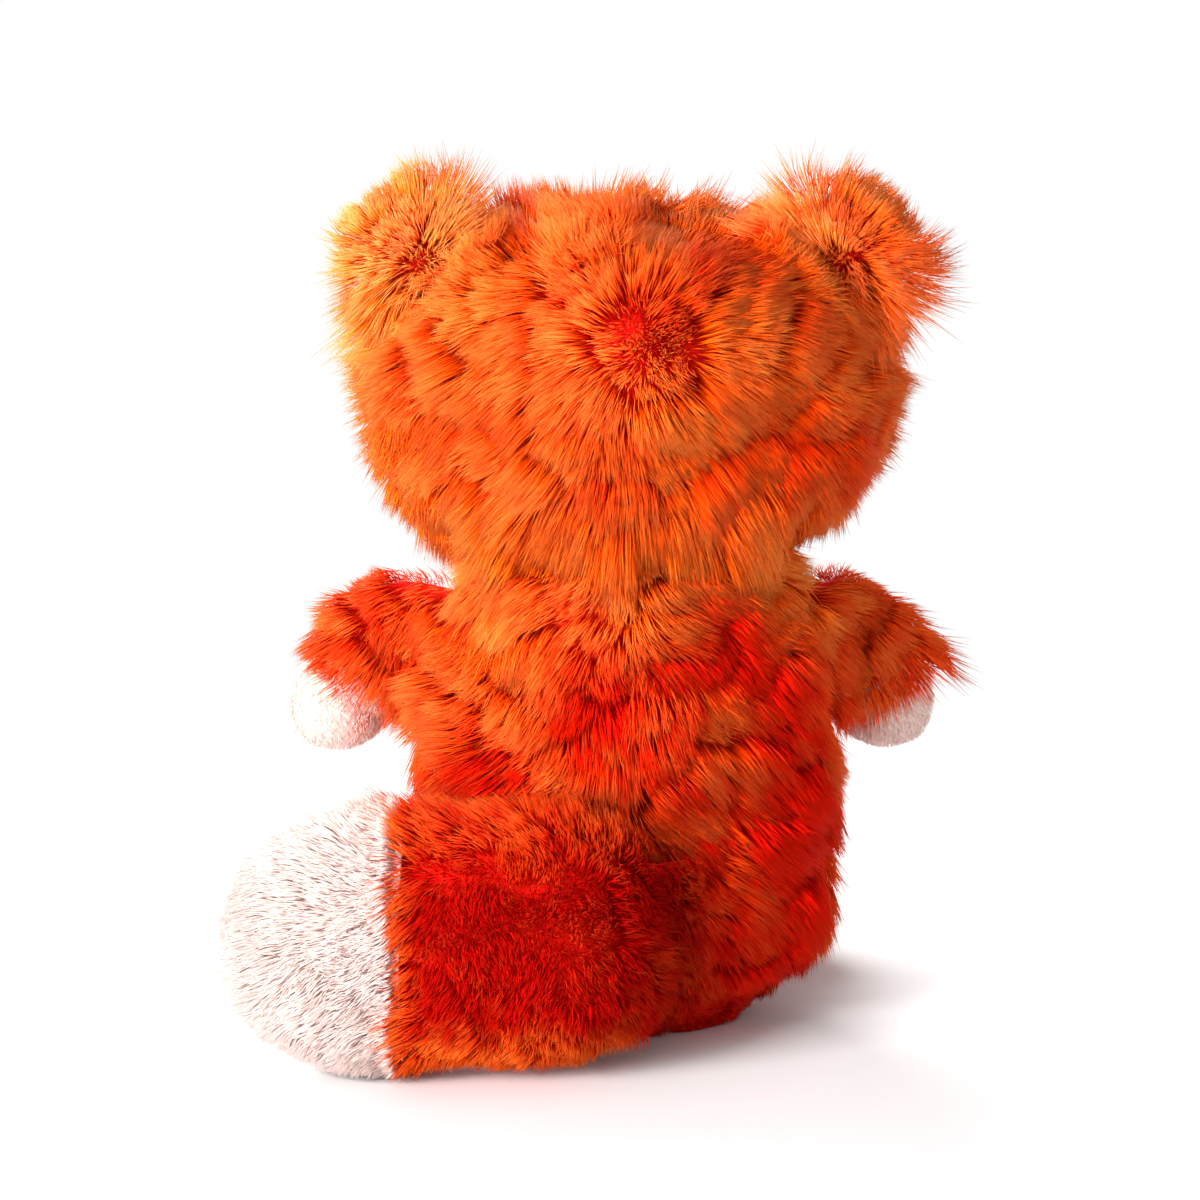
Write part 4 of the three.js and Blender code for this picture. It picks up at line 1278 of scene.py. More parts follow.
@dataclass
class Body(Furred):
    """The barrel of the body, with a seam down the back and a pale belly panel let in."""

    heights: tuple[float, ...] = (0.0, 15 * MM, 42 * MM, 77 * MM, 100 * MM)
    radii: tuple[float, ...] = (26 * MM, 38.5 * MM, 42 * MM, 40 * MM, 32 * MM)
    flatten: float = 0.86
    inset: float = 5.0 * MM
    seat_gap: float = 1.0 * MM
    neck_gap: float = 0.4 * MM
    groove: float = 1.6 * MM  # how deep the back seam draws in
    groove_width: float = 3 * MM
    locks: Locks = Locks(8, 62 * MM)
    partings: tuple[tuple[float, float], ...] = ((-13 * MM, 88 * MM), (6 * MM, 76 * MM), (-26 * MM, 62 * MM))
    belly_middle: float = 50 * MM
    belly_width: float = 46 * MM
    belly_height: float = 58 * MM
    belly_proud: float = 1.5 * MM
    fur: BodyFur = BodyFur()
    pile: Pile = Pile(ORANGE_PILE, 11.5 * MM, 4.7, width=0.25 * MM, tone=0.34)
    front_pile: Pile = Pile(ORANGE_PILE, 11 * MM, 3.2, width=0.31 * MM, tone=0.4)
    belly_pile: Pile = Pile(PALE_PILE, 7 * MM, 4.0, width=0.3 * MM, **SOFT_LOCKS)

    def radius(self, height: Array | float) -> Any:
        """The body's half width, on one smooth curve through its sizes.

        Args:
            height: the height or heights.

        Returns:
            The half width at each.
        """
        heights, radii = np.array(self.heights), np.array(self.radii)
        slopes = np.gradient(radii, heights)
        i = np.clip(np.searchsorted(heights, height) - 1, 0, len(heights) - 2)
        step = heights[i + 1] - heights[i]
        t = (np.asarray(height, float) - heights[i]) / step
        return (
            (2 * t**3 - 3 * t**2 + 1) * radii[i]
            + (t**3 - 2 * t**2 + t) * step * slopes[i]
            + (-2 * t**3 + 3 * t**2) * radii[i + 1]
            + (t**3 - t**2) * step * slopes[i + 1]
        )

    def depth(self, beside: float, height: float, inset: float = 0.0) -> float:
        """How far the skin, drawn in, stands from the body's middle to the front or the back."""
        radius = float(self.radius(height))
        return (radius * self.flatten - inset) * math.sqrt(1 - (beside / (radius - inset)) ** 2)

    @cached_property
    def form(self) -> Form:
        """The body's skin, drawn in, with a shallow valley along the back seam."""
        rings, sides = 44, 64
        share = (1 - np.cos(np.linspace(0, np.pi, rings))) / 2
        top = self.heights[-1]
        radius = self.radius(share * top)
        centres = UP * (self.seat_gap + share * (top - self.seat_gap - self.neck_gap))[:, None]
        wide, deep = radius - self.inset, radius * self.flatten - self.inset
        form = Form.loft(centres, ACROSS, BACK, wide, deep, sides)
        beside, behind = form.points[:, 0], form.points[:, 1]
        behind -= self.groove * np.exp(-((beside / self.groove_width) ** 2)) * (behind > 0)
        return form

    def on_front(self, across: float, above: float, lift: float) -> Array:
        """A place on the belly panel, lifted off the body's backing."""
        beside = across * self.belly_width / 2
        height = self.belly_middle + above * self.belly_height / 2
        return np.array([beside, -self.depth(beside, height, self.inset) - lift, height])

    def on_belly(self, middles: Array, normals: Array) -> Array:
        """Which faces of the body belong to the belly panel."""
        reach = (middles[:, 0] / (self.belly_width / 2)) ** 2
        reach += ((middles[:, 2] - self.belly_middle) / (self.belly_height / 2)) ** 2
        return (reach <= 1) & (middles[:, 1] < 0)

    def grow(self, points: Array, normals: Array) -> Growth:
        """Fur that parts at the back seam and falls outwards and down."""
        fur = self.fur
        beside, height, up = points[:, 0], points[:, 2], normals[:, 2]
        behind = fur.behind(points[:, 1])
        aside = np.tanh(beside / fur.seam) * (fur.aside + fur.behind_aside * behind)
        comb = tangent(ACROSS * aside[:, None] - UP, normals) * fur.lie + fur.sway(points)
        # tone: a random mottle, painted shade downwards, to the right, at the partings and between locks,
        # painted light below the head and at the right rim
        tone = fur.tone - fur.low(-height) - fur.right(-beside) + fur.mottle(points)[:, 0]
        tone += fur.neck(height) + fur.painted_rim_tone * rim_light_mask(points, normals)
        for across, above in self.partings:
            tone -= fur.parting.near(np.hypot(beside - across, height - above)) * behind
        cover = (1 - fur.seat(-up)) * (1 - fur.top(up))
        dip = self.locks.dip(np.arctan2(points[:, 1] / self.flatten, beside), height) * fur.locks(height)
        pile = 1 - fur.seat_trim(-up) - fur.hem(-height) - self.locks.trim * dip
        tone -= self.locks.shade * dip
        return Growth(comb, pile, cover, tone)

    def build(self, dress: Dresser) -> None:
        """Makes the body's skin, its panels of pile and the belly panel."""
        cloth = Cloth(self.form, "body", Slot.ORANGE)
        dress.skin("body_skin", cloth, BACKING, "body_shell")
        piles = {Half.BACK: self.pile, Half.FRONT: self.front_pile}
        dress.quarters("body_pile", cloth, piles, self.grow, self.on_belly)
        belly = Cloth(Form.pad(self.on_front, self.belly_proud), "body", Slot.PALE)
        dress.skin("belly_skin", belly, PALE_BACKING, "belly_panel")
        dress.pile("belly_pile", belly, self.belly_pile, self.grow, lambda _, normals: normals[:, 1] < 0)


@dataclass
class Limb:
    """A stuffed tube along a curve, pinched to an edge at its seam and round at its tip."""

    path: Array  # start, bend and end of the middle line
    steady: Array  # square to the middle line all along
    steady_size: Callable[[Array], Array]
    other_size: Callable[[Array], Array]
    tip_reach: float
    root_reach: float = 7 * MM  # how far the sewn edge runs on into the seam
    root_size: float = 0.35 * EDGE  # the distance whose size it keeps there
    least_share: float = 0.4  # of its size, however far it is drawn in
    least: float = 0.2 * MM
    tip_hole: float = 0.985  # where the last ring stands

    def __post_init__(self) -> None:
        """Measures the middle line."""
        start, bend, end = self.path
        s = np.linspace(0, 1, 400)[:, None]
        self._line = (1 - s) ** 2 * start + 2 * s * (1 - s) * bend + s**2 * end
        steps = np.linalg.norm(np.diff(self._line, axis=0), axis=1)
        self._run = np.concatenate([[0], np.cumsum(steps)])
        self._ways = unit(np.gradient(self._line, self._run, axis=0))
        self.length = float(self._run[-1])

    def at(self, distance: Array) -> tuple[Array, Array]:
        """The middle line's points and directions at distances from the seam's edge.

        Args:
            distance: distances, where one below 0 lies inside the seam.

        Returns:
            The points and the unit directions.
        """
        inside = np.clip(distance, 0, self.length)
        points, ways = (
            np.stack([np.interp(inside, self._run, part) for part in values.T], 1)
            for values in (self._line, self._ways)
        )
        way = unit(ways)
        return points + way * np.minimum(distance, 0)[:, None], way

    def form(self, start: float, stop: float, inset: float, rings: int = 30, sides: int = 40) -> Form:
        """The stretch between two distances, drawn in.

        Args:
            start: where it begins; 0 is the seam, and then it runs on into the seam.
            stop: where it ends.
            inset: how far it is drawn in.
            rings: rings along it.
            sides: points on each ring.

        Returns:
            The form.
        """
        share = np.linspace(0, 1, rings)
        if stop >= self.length - 1e-6:
            stop = self.length - inset
            share = np.sin(share * np.pi / 2 * self.tip_hole)
        begin = -self.root_reach if start <= 0 else start
        distance = begin + (stop - begin) * share
        points, ways = self.at(distance)
        reach = np.clip(1 - (self.length - inset - distance) / self.tip_reach, 0, 1)
        tip = np.sqrt(1 - reach**2)
        sizes = []
        for size in (self.steady_size, self.other_size):
            full = size(np.maximum(distance, self.root_size))
            sizes.append(np.maximum(np.maximum(full - inset, self.least_share * full) * tip, self.least))
        return Form.loft(points, self.steady, unit(np.cross(ways, self.steady)), *sizes, sides)

    def flow(self, points: Array) -> tuple[Array, Array]:
        """The way towards the tip, and the distance from the seam, at places on the limb."""
        skip = 8  # of the middle line's points
        gaps = np.linalg.norm(points[:, None, :] - self._line[None, ::skip, :], axis=2)
        distance = self._run[::skip][np.argmin(gaps, axis=1)]
        return self.at(distance)[1], distance

    def outside(self, middles: Array, normals: Array) -> Array:
        """Which faces lie on the limb's outside, and not on an end where it is cut for a cuff."""
        way, distance = self.flow(middles)
        end_on = 0.9  # the cosine from which a face closes an end
        return (np.abs(np.sum(way * normals, axis=1)) < end_on) | (distance > self.length - self.tip_reach)


def swelling(distance: Array, seam: float, full: float, swell: float) -> Array:
    """Half a size that grows from the seam on and keeps its full value beyond the swell length."""
    share = np.clip((distance - EDGE) / swell, 0, 1)
    return seam + (full - seam) * np.sin(np.pi / 2 * share)


def pinched(distance: Array, full: float, swell: float) -> Array:
    """Half the thickness of a limb that is sewn on along a pinched edge."""
    share = np.clip(1 - distance / EDGE, 0, 1)
    return swelling(distance, EDGE, full, swell) * np.sqrt(1 - share**2)


def changing(distance: Array, before: Array, after: float, cuff: float) -> Array:
    """Half a size that changes from one value to another just before a cuff."""
    return before + (after - before) * smooth(distance, cuff / 2, cuff)


def floor_cover(normals: Array) -> Array:
    """How dense fur is that may lie on the floor: half as dense where it points down."""
    return 1 - 0.5 * smooth(-normals[:, 2], 0.8, 0.97)


@dataclass
class LimbFur(Furred):
    """Fur that is combed along a limb towards its tip."""

    limb: Limb
    comb: float  # how flat it lies
    sag: float  # how far it falls downwards
    root: float = 0.0  # how much longer it is at the seam
    cuff: float = 0.0  # where it begins
    cuff_edge: float = 0.5 * MM
    root_reach: Fade = Fade(4 * MM, 16 * MM)
    under: Fade = Fade(0.6, 0.95, 0.45)  # underneath it is shorter

    def grow(self, points: Array, normals: Array) -> Growth:
        """Fur that lies along the limb."""
        way, distance = self.limb.flow(points)
        comb = tangent(way, normals) * self.comb + downhill(normals) * self.sag
        cover = floor_cover(normals)
        cover *= smooth(distance, self.cuff - self.cuff_edge, self.cuff + self.cuff_edge)
        pile = 1 - self.under(-normals[:, 2])
        pile *= 1 + self.root * self.root_reach.near(distance)
        return Growth(comb, pile, cover)


@dataclass
class Sleeved:
    """What an arm, a leg and the tail share: an orange sleeve with a pale end sewn into its cuff."""

    overlap = 1 * MM  # how far a paw or foot runs on into the cuff
    paw_inset = 0.8 * MM
    floor = 0.4 * MM  # the height that no paw or foot goes below

    @staticmethod
    def sleeve(dress: Dresser, body: str, limb: Limb, form: Form, pile: Pile, grow: Grow) -> None:
        """Makes the sleeve of a limb, and its pile, on the body that it rides on."""
        cloth = Cloth(form, body, Slot.ORANGE)
        dress.skin(f"{body}_skin", cloth, BACKING, f"{body}_sleeve")
        dress.pile(f"{body}_pile", cloth, pile, grow, limb.outside)

    def paw(self, dress: Dresser, name: str, body: str, limb: Limb, cuff: float) -> None:
        """Makes a pale short-pile paw or foot.

        Args:
            dress: makes the pieces.
            name: the node that it stands for.
            body: the body that it rides on.
            limb: the whole limb.
            cuff: where the sleeve ends.
        """
        form = limb.form(cuff - self.overlap, limb.length, self.paw_inset)
        form.points[:, 2] = np.maximum(form.points[:, 2], self.floor)
        cloth = Cloth(form, body, Slot.PALE)
        dress.skin(f"{name}_skin", cloth, PALE_NAP, name)
        fur = LimbFur(limb, comb=0.8, sag=0.2, cuff=cuff + 0.5 * MM)
        dress.pile(f"{name}_nap", cloth, PAW_NAP, fur.grow, limb.outside)


@dataclass
class Arm(Sleeved, Furred):
    """One arm: a long-pile sleeve with a pale short-pile paw sewn into its cuff."""

    side: Side
    yaw: float  # degrees forward of straight out
    body: Body
    shoulder: float = 77 * MM
    shoulder_turn: float = 17.0
    reach: float = 17.5 * MM
    drop: float = 30 * MM
    seam_height: float = 29 * MM
    sleeve_height: float = 31 * MM
    sleeve_thickness: float = 25 * MM
    sleeve_length: float = 21 * MM
    paw_size: float = 21 * MM
    gap: float = 0.3 * MM
    inset: float = 3.5 * MM
    lie: float = 1.15  # how flat the fur lies
    sweep: float = 1.3  # how far it falls as it sweeps outwards
    sway: Drift = Drift(26 * MM, 7, 0.2)
    cuff_reach: float = 8 * MM
    trim: float = 0.3  # at the outside of the cuff it is shorter
    outer: Fade = Fade(-0.7, 0.2)
    inner: Fade = Fade(0.35, 0.9, 0.5)  # at the inside of the cuff it is longer
    top: Fade = Fade(0.2, 0.9, 0.5)  # on top it is shorter
    pile: Pile = Pile(ORANGE_PILE, 10 * MM, 7.0, width=0.24 * MM, tone=0.34)

    @cached_property
    def limb(self) -> Limb:
        """The arm's tube, from the side seam out and down to the paw."""
        sign, body, step = self.side.value, self.body, 2 * MM
        radius = float(body.radius(self.shoulder))
        rise = body.radius(self.shoulder + step) - body.radius(self.shoulder - step)
        slope = float(rise) / (2 * step)
        turn = math.radians(self.shoulder_turn)
        beside, forward = sign * math.cos(turn), -body.flatten * math.sin(turn)
        seam = unit(np.array([beside * slope, forward * slope, 1.0]))
        around = np.array([-forward / body.flatten, beside * body.flatten, 0.0])
        straight = unit(np.cross(around, seam))
        out = turn_about(straight, seam, -sign * math.radians(self.yaw))
        pivot = np.array([beside * radius, forward * radius, self.shoulder]) + straight * (EDGE + self.gap)
        elbow = pivot + out * self.reach
        path = np.array([pivot - out * EDGE, elbow, elbow - seam * self.drop])
        return Limb(path, unit(np.cross(seam, out)), self._thickness, self._height, self.paw_size / 2)

    def _thickness(self, distance: Array) -> Array:
        """Half the arm's thickness at distances from the seam."""
        sleeve = pinched(distance, self.sleeve_thickness / 2, self.sleeve_length)
        return changing(distance, sleeve, self.paw_size / 2, self.sleeve_length)

    def _height(self, distance: Array) -> Array:
        """Half the arm's height at distances from the seam."""
        sleeve = swelling(distance, self.seam_height / 2, self.sleeve_height / 2, self.sleeve_length)
        return changing(distance, sleeve, self.paw_size / 2, self.sleeve_length)

    def grow(self, points: Array, normals: Array) -> Growth:
        """Fur that sweeps outwards over the shoulder and falls away from the paw."""
        limb = self.limb
        _, distance = limb.flow(points)
        out = unit(limb.path[1] - limb.path[0])
        comb = tangent(np.tile(out - self.sweep * UP, (len(points), 1)), normals) * self.lie
        comb += self.sway(points)
        cuff = smooth(distance, self.sleeve_length - self.cuff_reach, self.sleeve_length)
        facing = normals @ out
        pile = 1 + cuff * (self.inner(-facing) - self.trim * self.outer(facing))
        pile *= 1 - self.top(normals[:, 2])
        return Growth(comb, pile)

    def build(self, dress: Dresser) -> None:
        """Makes the sleeve, the paw and their pile."""
        limb, word = self.limb, self.side.word
        sleeve = limb.form(0, self.sleeve_length, self.inset)
        self.sleeve(dress, f"{word}_arm", limb, sleeve, self.pile, self.grow)
        self.paw(dress, f"{word}_paw", f"{word}_arm", limb, self.sleeve_length)


@dataclass
class Leg(Sleeved):
    """One leg, lying forward on the ground: a long-pile sleeve and a pale short-pile foot."""

    side: Side
    body: Body
    spacing: float = 36 * MM
    length: float = 46 * MM
    seam_width: float = 16 * MM
    width: float = 27 * MM
    height: float = 28 * MM
    foot: float = 30 * MM
    sleeve_length: float = 27 * MM
    splay: float = 14.0
    rest_cut: float = 0.5 * MM
    gap: float = 0.3 * MM
    inset: float = 3.5 * MM
    lie: float = 1.0
    sag: float = 0.3
    root_length: float = 0.5  # how much longer the fur is at the hip
    pile: Pile = Pile(ORANGE_PILE, 10 * MM, 5.0, width=0.26 * MM, tone=0.45)

    @cached_property
    def limb(self) -> Limb:
        """The leg's tube, from the front of the hip to the toes."""
        sign = self.side.value
        root = self.height / 2 - self.rest_cut
        out = turn_about(FRONT, UP, sign * math.radians(self.splay))
        beside = sign * self.spacing / 2
        start = np.array([beside, -self.body.depth(beside, root), root]) + out * self.gap
        end = start + out * self.length
        return Limb(
            np.array([start, (start + end) / 2, end]),
            UP,
            lambda d: pinched(d, self.height / 2, self.sleeve_length),
            self._width,
            self.length - self.sleeve_length,
        )

    def _width(self, distance: Array) -> Array:
        """Half the leg's width at distances from the seam."""
        sleeve = swelling(distance, self.seam_width / 2, self.width / 2, self.sleeve_length)
        return changing(distance, sleeve, self.foot / 2, self.sleeve_length)

    def build(self, dress: Dresser) -> None:
        """Makes the sleeve, the foot and their pile."""
        limb, word = self.limb, self.side.word
        fur = LimbFur(limb, self.lie, self.sag, root=self.root_length)
        sleeve = limb.form(0, self.sleeve_length, self.inset)
        self.sleeve(dress, f"{word}_leg", limb, sleeve, self.pile, fur.grow)
        self.paw(dress, f"{word}_foot", f"{word}_leg", limb, self.sleeve_length)


@dataclass(frozen=True)
class TailFur:
    """How the tail's fur lies, how long and how bright it is, and over which stretches that changes."""

    lie: float = 0.7  # how flat it lies
    back_lift: float = 0.4  # less so on the back
    edge_lie: float = 0.5  # more so at the border of the tip
    tip_lift: float = 0.2
    sag: float = 0.25
    sway: Drift = Drift(30 * MM, 9, 0.2)
    border: Fade = Fade(-1 * MM, 1 * MM)  # past the sleeve's end
    edge: Fade = Fade(-9 * MM, 0)  # towards the border
    behind: Fade = Fade(0.2, 0.85)
    back_trim: float = 0.2
    edge_trim: float = 0.1  # on the tip's side of the border
    edge_length: float = 0.5  # on the sleeve's side
    rag: Drift = Drift(14 * MM, 19, 0.5)
    under: Fade = Fade(0.3, 0.95, 0.5)  # underneath it is shorter
    # painted rim light at the tail's edges
    painted_rim_tone: float = 0.55  # how much brighter it is at the rims
    # where the painted rim light falls: the low and high edges and the tip's border
    low_rim: Fade = Fade(0.25, 0.7)
    high_rim: Fade = Fade(0.55, 0.95, 0.4)
    end_rim: Fade = Fade(-6 * MM, -1 * MM)
    mottle: Drift = Drift(14 * MM, 27, 0.06)


@dataclass
class Tail(Sleeved, Furred):
    """The bushy tail, curled round to the left, orange with a pale tip."""

    body: Body
    height: float = 54 * MM
    thickness: float = 43 * MM
    seam_height: float = 38 * MM
    set_off: float = -5 * MM
    leave_angle: float = 52.0
    leave_length: float = 24 * MM
    reach: float = 84 * MM
    trail: float = 4 * MM
    sleeve_length: float = 53 * MM
    rest_cut: float = 0.5 * MM
    gap: float = 0.6 * MM
    inset: float = 5 * MM
    tip_inset: float = 1.8 * MM
    sides: int = 56
    fur: TailFur = TailFur()
    pile: Pile = Pile(
        SHADED_TAIL_PILE, 9 * MM, 4.2, width=0.26 * MM, lock_ends=0.3, lock_lift=0.18, lock_lean=0.2,
        lock_length=0.12, lock_tone=0.08, tuft_pull=0.25, tone=0.03, tone_spread=0.05,
    )
    tip_pile: Pile = Pile(
        SHADED_TIP_PILE, 5.8 * MM, 6.0, width=0.26 * MM, lock_ends=0.0, lock_pull=0.0, lock_lift=0.2, lock_lean=0.22,
        lock_length=0.12, lock_tone=0.12, tuft_size=3.5 * MM, tuft_pull=0.08, wave=0.2,
    )

    @cached_property
    def limb(self) -> Limb:
        """The tail's tube, from the small of the back round to its tip."""
        middle = self.height / 2 - self.rest_cut
        out = turn_about(BACK, UP, -math.radians(self.leave_angle))
        depth = self.body.depth(self.set_off, middle)
        pivot = np.array([self.set_off, depth + EDGE + self.gap, middle])
        tip = pivot + ACROSS * self.reach + BACK * self.trail
        return Limb(
            np.array([pivot - out * EDGE, pivot + out * self.leave_length, tip]),
            UP,
            lambda d: swelling(d, self.seam_height / 2, self.height / 2, self.height / 2),
            lambda d: pinched(d, self.thickness / 2, self.thickness / 2),
            self.height / 2,
        )

    def grow(self, points: Array, normals: Array) -> Growth:
        """Fur that stands up off the back of the tail and lies towards its tip elsewhere."""
        fur = self.fur
        way, distance = self.limb.flow(points)
        past, up = distance - self.sleeve_length, normals[:, 2]
        on_tip, edge = fur.border(past), fur.edge(-np.abs(past))
        on_sleeve = 1 - on_tip
        behind = fur.behind(normals[:, 1]) * on_sleeve
        lie = fur.lie - fur.back_lift * behind + fur.edge_lie * edge - fur.tip_lift * on_tip
        comb = tangent(way, normals) * lie[:, None]
        comb += downhill(normals) * fur.sag + fur.sway(points)
        # painted rim light along the tail's edges and at the tip's border, with a random mottle
        rim = np.maximum(fur.low_rim(-up), fur.high_rim(up))
        rim = np.maximum(rim, fur.end_rim(-np.abs(past))) * on_sleeve
        tone = fur.painted_rim_tone * rim + fur.mottle(points)[:, 0] * on_sleeve
        pile = (1 - fur.under(-up)) * (1 - fur.back_trim * behind)
        pile *= 1 - fur.edge_trim * edge * on_tip
        pile *= 1 + (fur.edge_length + fur.rag(points)[:, 0]) * edge * on_sleeve
        return Growth(comb, pile, floor_cover(normals), tone)

    def build(self, dress: Dresser) -> None:
        """Makes the orange sleeve, the pale tip and their pile."""
        limb = self.limb
        sleeve = limb.form(0, self.sleeve_length, self.inset, rings=40, sides=self.sides)
        self.sleeve(dress, "tail", limb, sleeve, self.pile, self.grow)
        end = limb.form(self.sleeve_length, limb.length, self.tip_inset, rings=30, sides=self.sides)
        tip = Cloth(end, "tail", Slot.PALE)
        dress.skin("tail_tip_skin", tip, PALE_BACKING, "tail_tip")
        dress.pile("tail_tip_pile", tip, self.tip_pile, self.grow, limb.outside)


@dataclass(frozen=True)
class EarFur:
    """How the ears' fur lies, how long and how bright it is, and over which stretches that changes."""

    centre: float = 0.12  # how deep in the head it is combed from, in reaches
    lie: Fade = Fade(-2 * MM, 6 * MM, 1.3)  # how flat it lies, from there outwards
    sway: Drift = Drift(18 * MM, 25, 0.25)
    root: Fade = Fade(1 * MM, 8 * MM, 0.1)  # at its root it is brighter
    length: float = 1.04
    corner: Size = (0.8, 0.0, 0.6)  # the way to the left ear's outer corner
    corner_reach: Fade = Fade(0.2, 0.95)
    hang: Size = (0.85, 0.0, -0.5)  # the way in which it hangs longer
    hang_reach: Fade = Fade(0.4, 0.95, 0.4)
    root_length: float = 0.75
    rise: Fade = Fade(0, 8 * MM)
    back_edge: float = -0.35  # how far round the rim it grows, as a cosine
    lining_edge: float = 0.2
    lining_lie: float = 0.5  # of the back's


@dataclass
class Ear(Furred):
    """One round ear: a long-pile back and a pale short-pile lining."""

    side: Side
    head: Head
    # how much brighter its back is painted, as light; below 0 it is painted deeper, as shade
    tone: float  # how much brighter its back is
    trim: float  # at the outer corner it is shorter
    width: float = 33 * MM
    reach: float = 18.5 * MM
    thickness: float = 10 * MM
    lining: float = 4 * MM
    setback: float = 3 * MM
    seat_angle: float = 33.0
    gap: float = 0.3 * MM
    inset: float = 2.2 * MM
    rim_inset: float = 3 * MM
    rim_from: float = 5 * MM  # where it begins, from the ear's middle
    split_gap: float = 0.1 * MM
    cup: Fade = Fade(2 * MM, 14 * MM, 3.0 * MM)  # how far the sides bend to the front
    arch: Fade = Fade(0, 12 * MM, 1.0 * MM)  # how far the rim leans back
    fur: EarFur = EarFur()
    pile: Pile = Pile(
        LIT_EAR_PILE, 11 * MM, 13.0, width=0.21 * MM, lock_size=7 * MM, lock_ends=0.3, tuft_size=3 * MM
    )
    nap: Pile = Pile(
        PALE_PILE, 4 * MM, 9.0, width=0.28 * MM, lock_size=4 * MM, lock_ends=0.2, tuft_pull=0.15
    )

    @cached_property
    def seat(self) -> tuple[Array, Array]:
        """Where the ear is sewn on, and the way that it points."""
        head, power, sign = self.head, self.head.squareness, self.side.value
        slant = math.tan(math.radians(self.seat_angle)) * head.width / head.height
        rise = slant / (1 + slant**power) ** (1 / power)
        across = (1 - rise**power) ** (1 / power)
        slope = across ** (power - 1) / head.width, rise ** (power - 1) / head.height
        out = unit(np.array([sign * slope[0], 0.0, slope[1]]))
        place = np.array([sign * across * head.width / 2, self.setback, head.middle + rise * head.height / 2])
        return place + out * (EDGE + self.gap), out

    def _half_width(self, distance: Array) -> Array:
        """Half the ear's width at distances from the seam: a round disc."""
        half = self.width / 2
        return half * np.sqrt(1 - (np.minimum(distance - self.reach + half, 0) / half) ** 2)

    @cached_property
    def limb(self) -> Limb:
        """The ear's pad, from the head's corner to its round rim."""
        pivot, out = self.seat
        start = pivot - out * EDGE
        end = start + out * self.reach
        return Limb(
            np.array([start, (start + end) / 2, end]),
            BACK,
            lambda d: pinched(d, self.thickness / 2, self.reach / 3),
            self._half_width,
            self.width / 2,
        )

    def form(self, half: Half) -> Form:
        """The back or the lining, cupped a little towards the front.

        Args:
            half: which of the two.

        Returns:
            The form.
        """
        limb = self.limb
        pivot, out = self.seat
        form = limb.form(0, limb.length, self.inset, rings=26, sides=44)
        flat = form.points - pivot - out * (self.reach - self.width / 2)
        flat[:, 1] = 0
        wide = np.linalg.norm(flat, axis=1, keepdims=True)
        rim = self.rim_inset * smooth(wide, self.rim_from, self.width / 2)
        form.points -= flat / np.maximum(wide, 1e-6) * rim
        split = self.setback - self.thickness / 2 + self.lining + half.value * self.split_gap
        y = form.points[:, 1]
        y[:] = np.maximum(y, split) if half is Half.BACK else np.minimum(y, split)
        aside = (form.points - pivot) @ np.cross(out, BACK)
        along = (form.points - pivot) @ out
        y -= (aside / (self.width / 2)) ** 2 * self.cup(along) - self.arch(along)
        return form

    def grow(self, points: Array, normals: Array) -> Growth:
        """Fur that is combed out from the ear's seam."""
        fur = self.fur
        pivot, out = self.seat
        away = points - pivot + out * (self.reach * fur.centre)
        reach = np.linalg.norm(away, axis=1)
        comb = tangent(away, normals) * fur.lie(reach)[:, None] + fur.sway(points)
        tone = self.tone + fur.root.near(reach)
        mirror = (self.side.value, 1, 1)
        corner, hang = (unit(away) @ unit(np.array(way) * mirror) for way in (fur.corner, fur.hang))
        pile = fur.length - self.trim * fur.corner_reach(corner) + fur.hang_reach(hang)
        pile *= fur.root_length + (1 - fur.root_length) * fur.rise(reach)
        return Growth(comb, pile, tone=tone)

    def grow_lining(self, points: Array, normals: Array) -> Growth:
        """Nap that leans out from the ear's seam."""
        back = self.grow(points, normals)
        return Growth(back.comb * self.fur.lining_lie, tone=back.tone)

    def on_back(self, middles: Array, normals: Array) -> Array:
        """Which faces of the back have fur: all but its cut side."""
        return normals[:, 1] > self.fur.back_edge

    def on_lining(self, middles: Array, normals: Array) -> Array:
        """Which faces of the lining have nap."""
        return normals[:, 1] < self.fur.lining_edge

    def build(self, dress: Dresser) -> None:
        """Makes the back, the lining and their pile."""
        body = f"{self.side.word}_ear"
        back = Cloth(self.form(Half.BACK), body, Slot.ORANGE)
        front = Cloth(self.form(Half.FRONT), body, Slot.PALE)
        dress.skin(f"{body}_skin", back, BACKING, f"{body}_back")
        dress.skin(f"{body}_lining_skin", front, PALE_NAP, f"{body}_lining")
        dress.pile(f"{body}_pile", back, self.pile, self.grow, self.on_back)
        dress.pile(f"{body}_lining_nap", front, self.nap, self.grow_lining, self.on_lining)


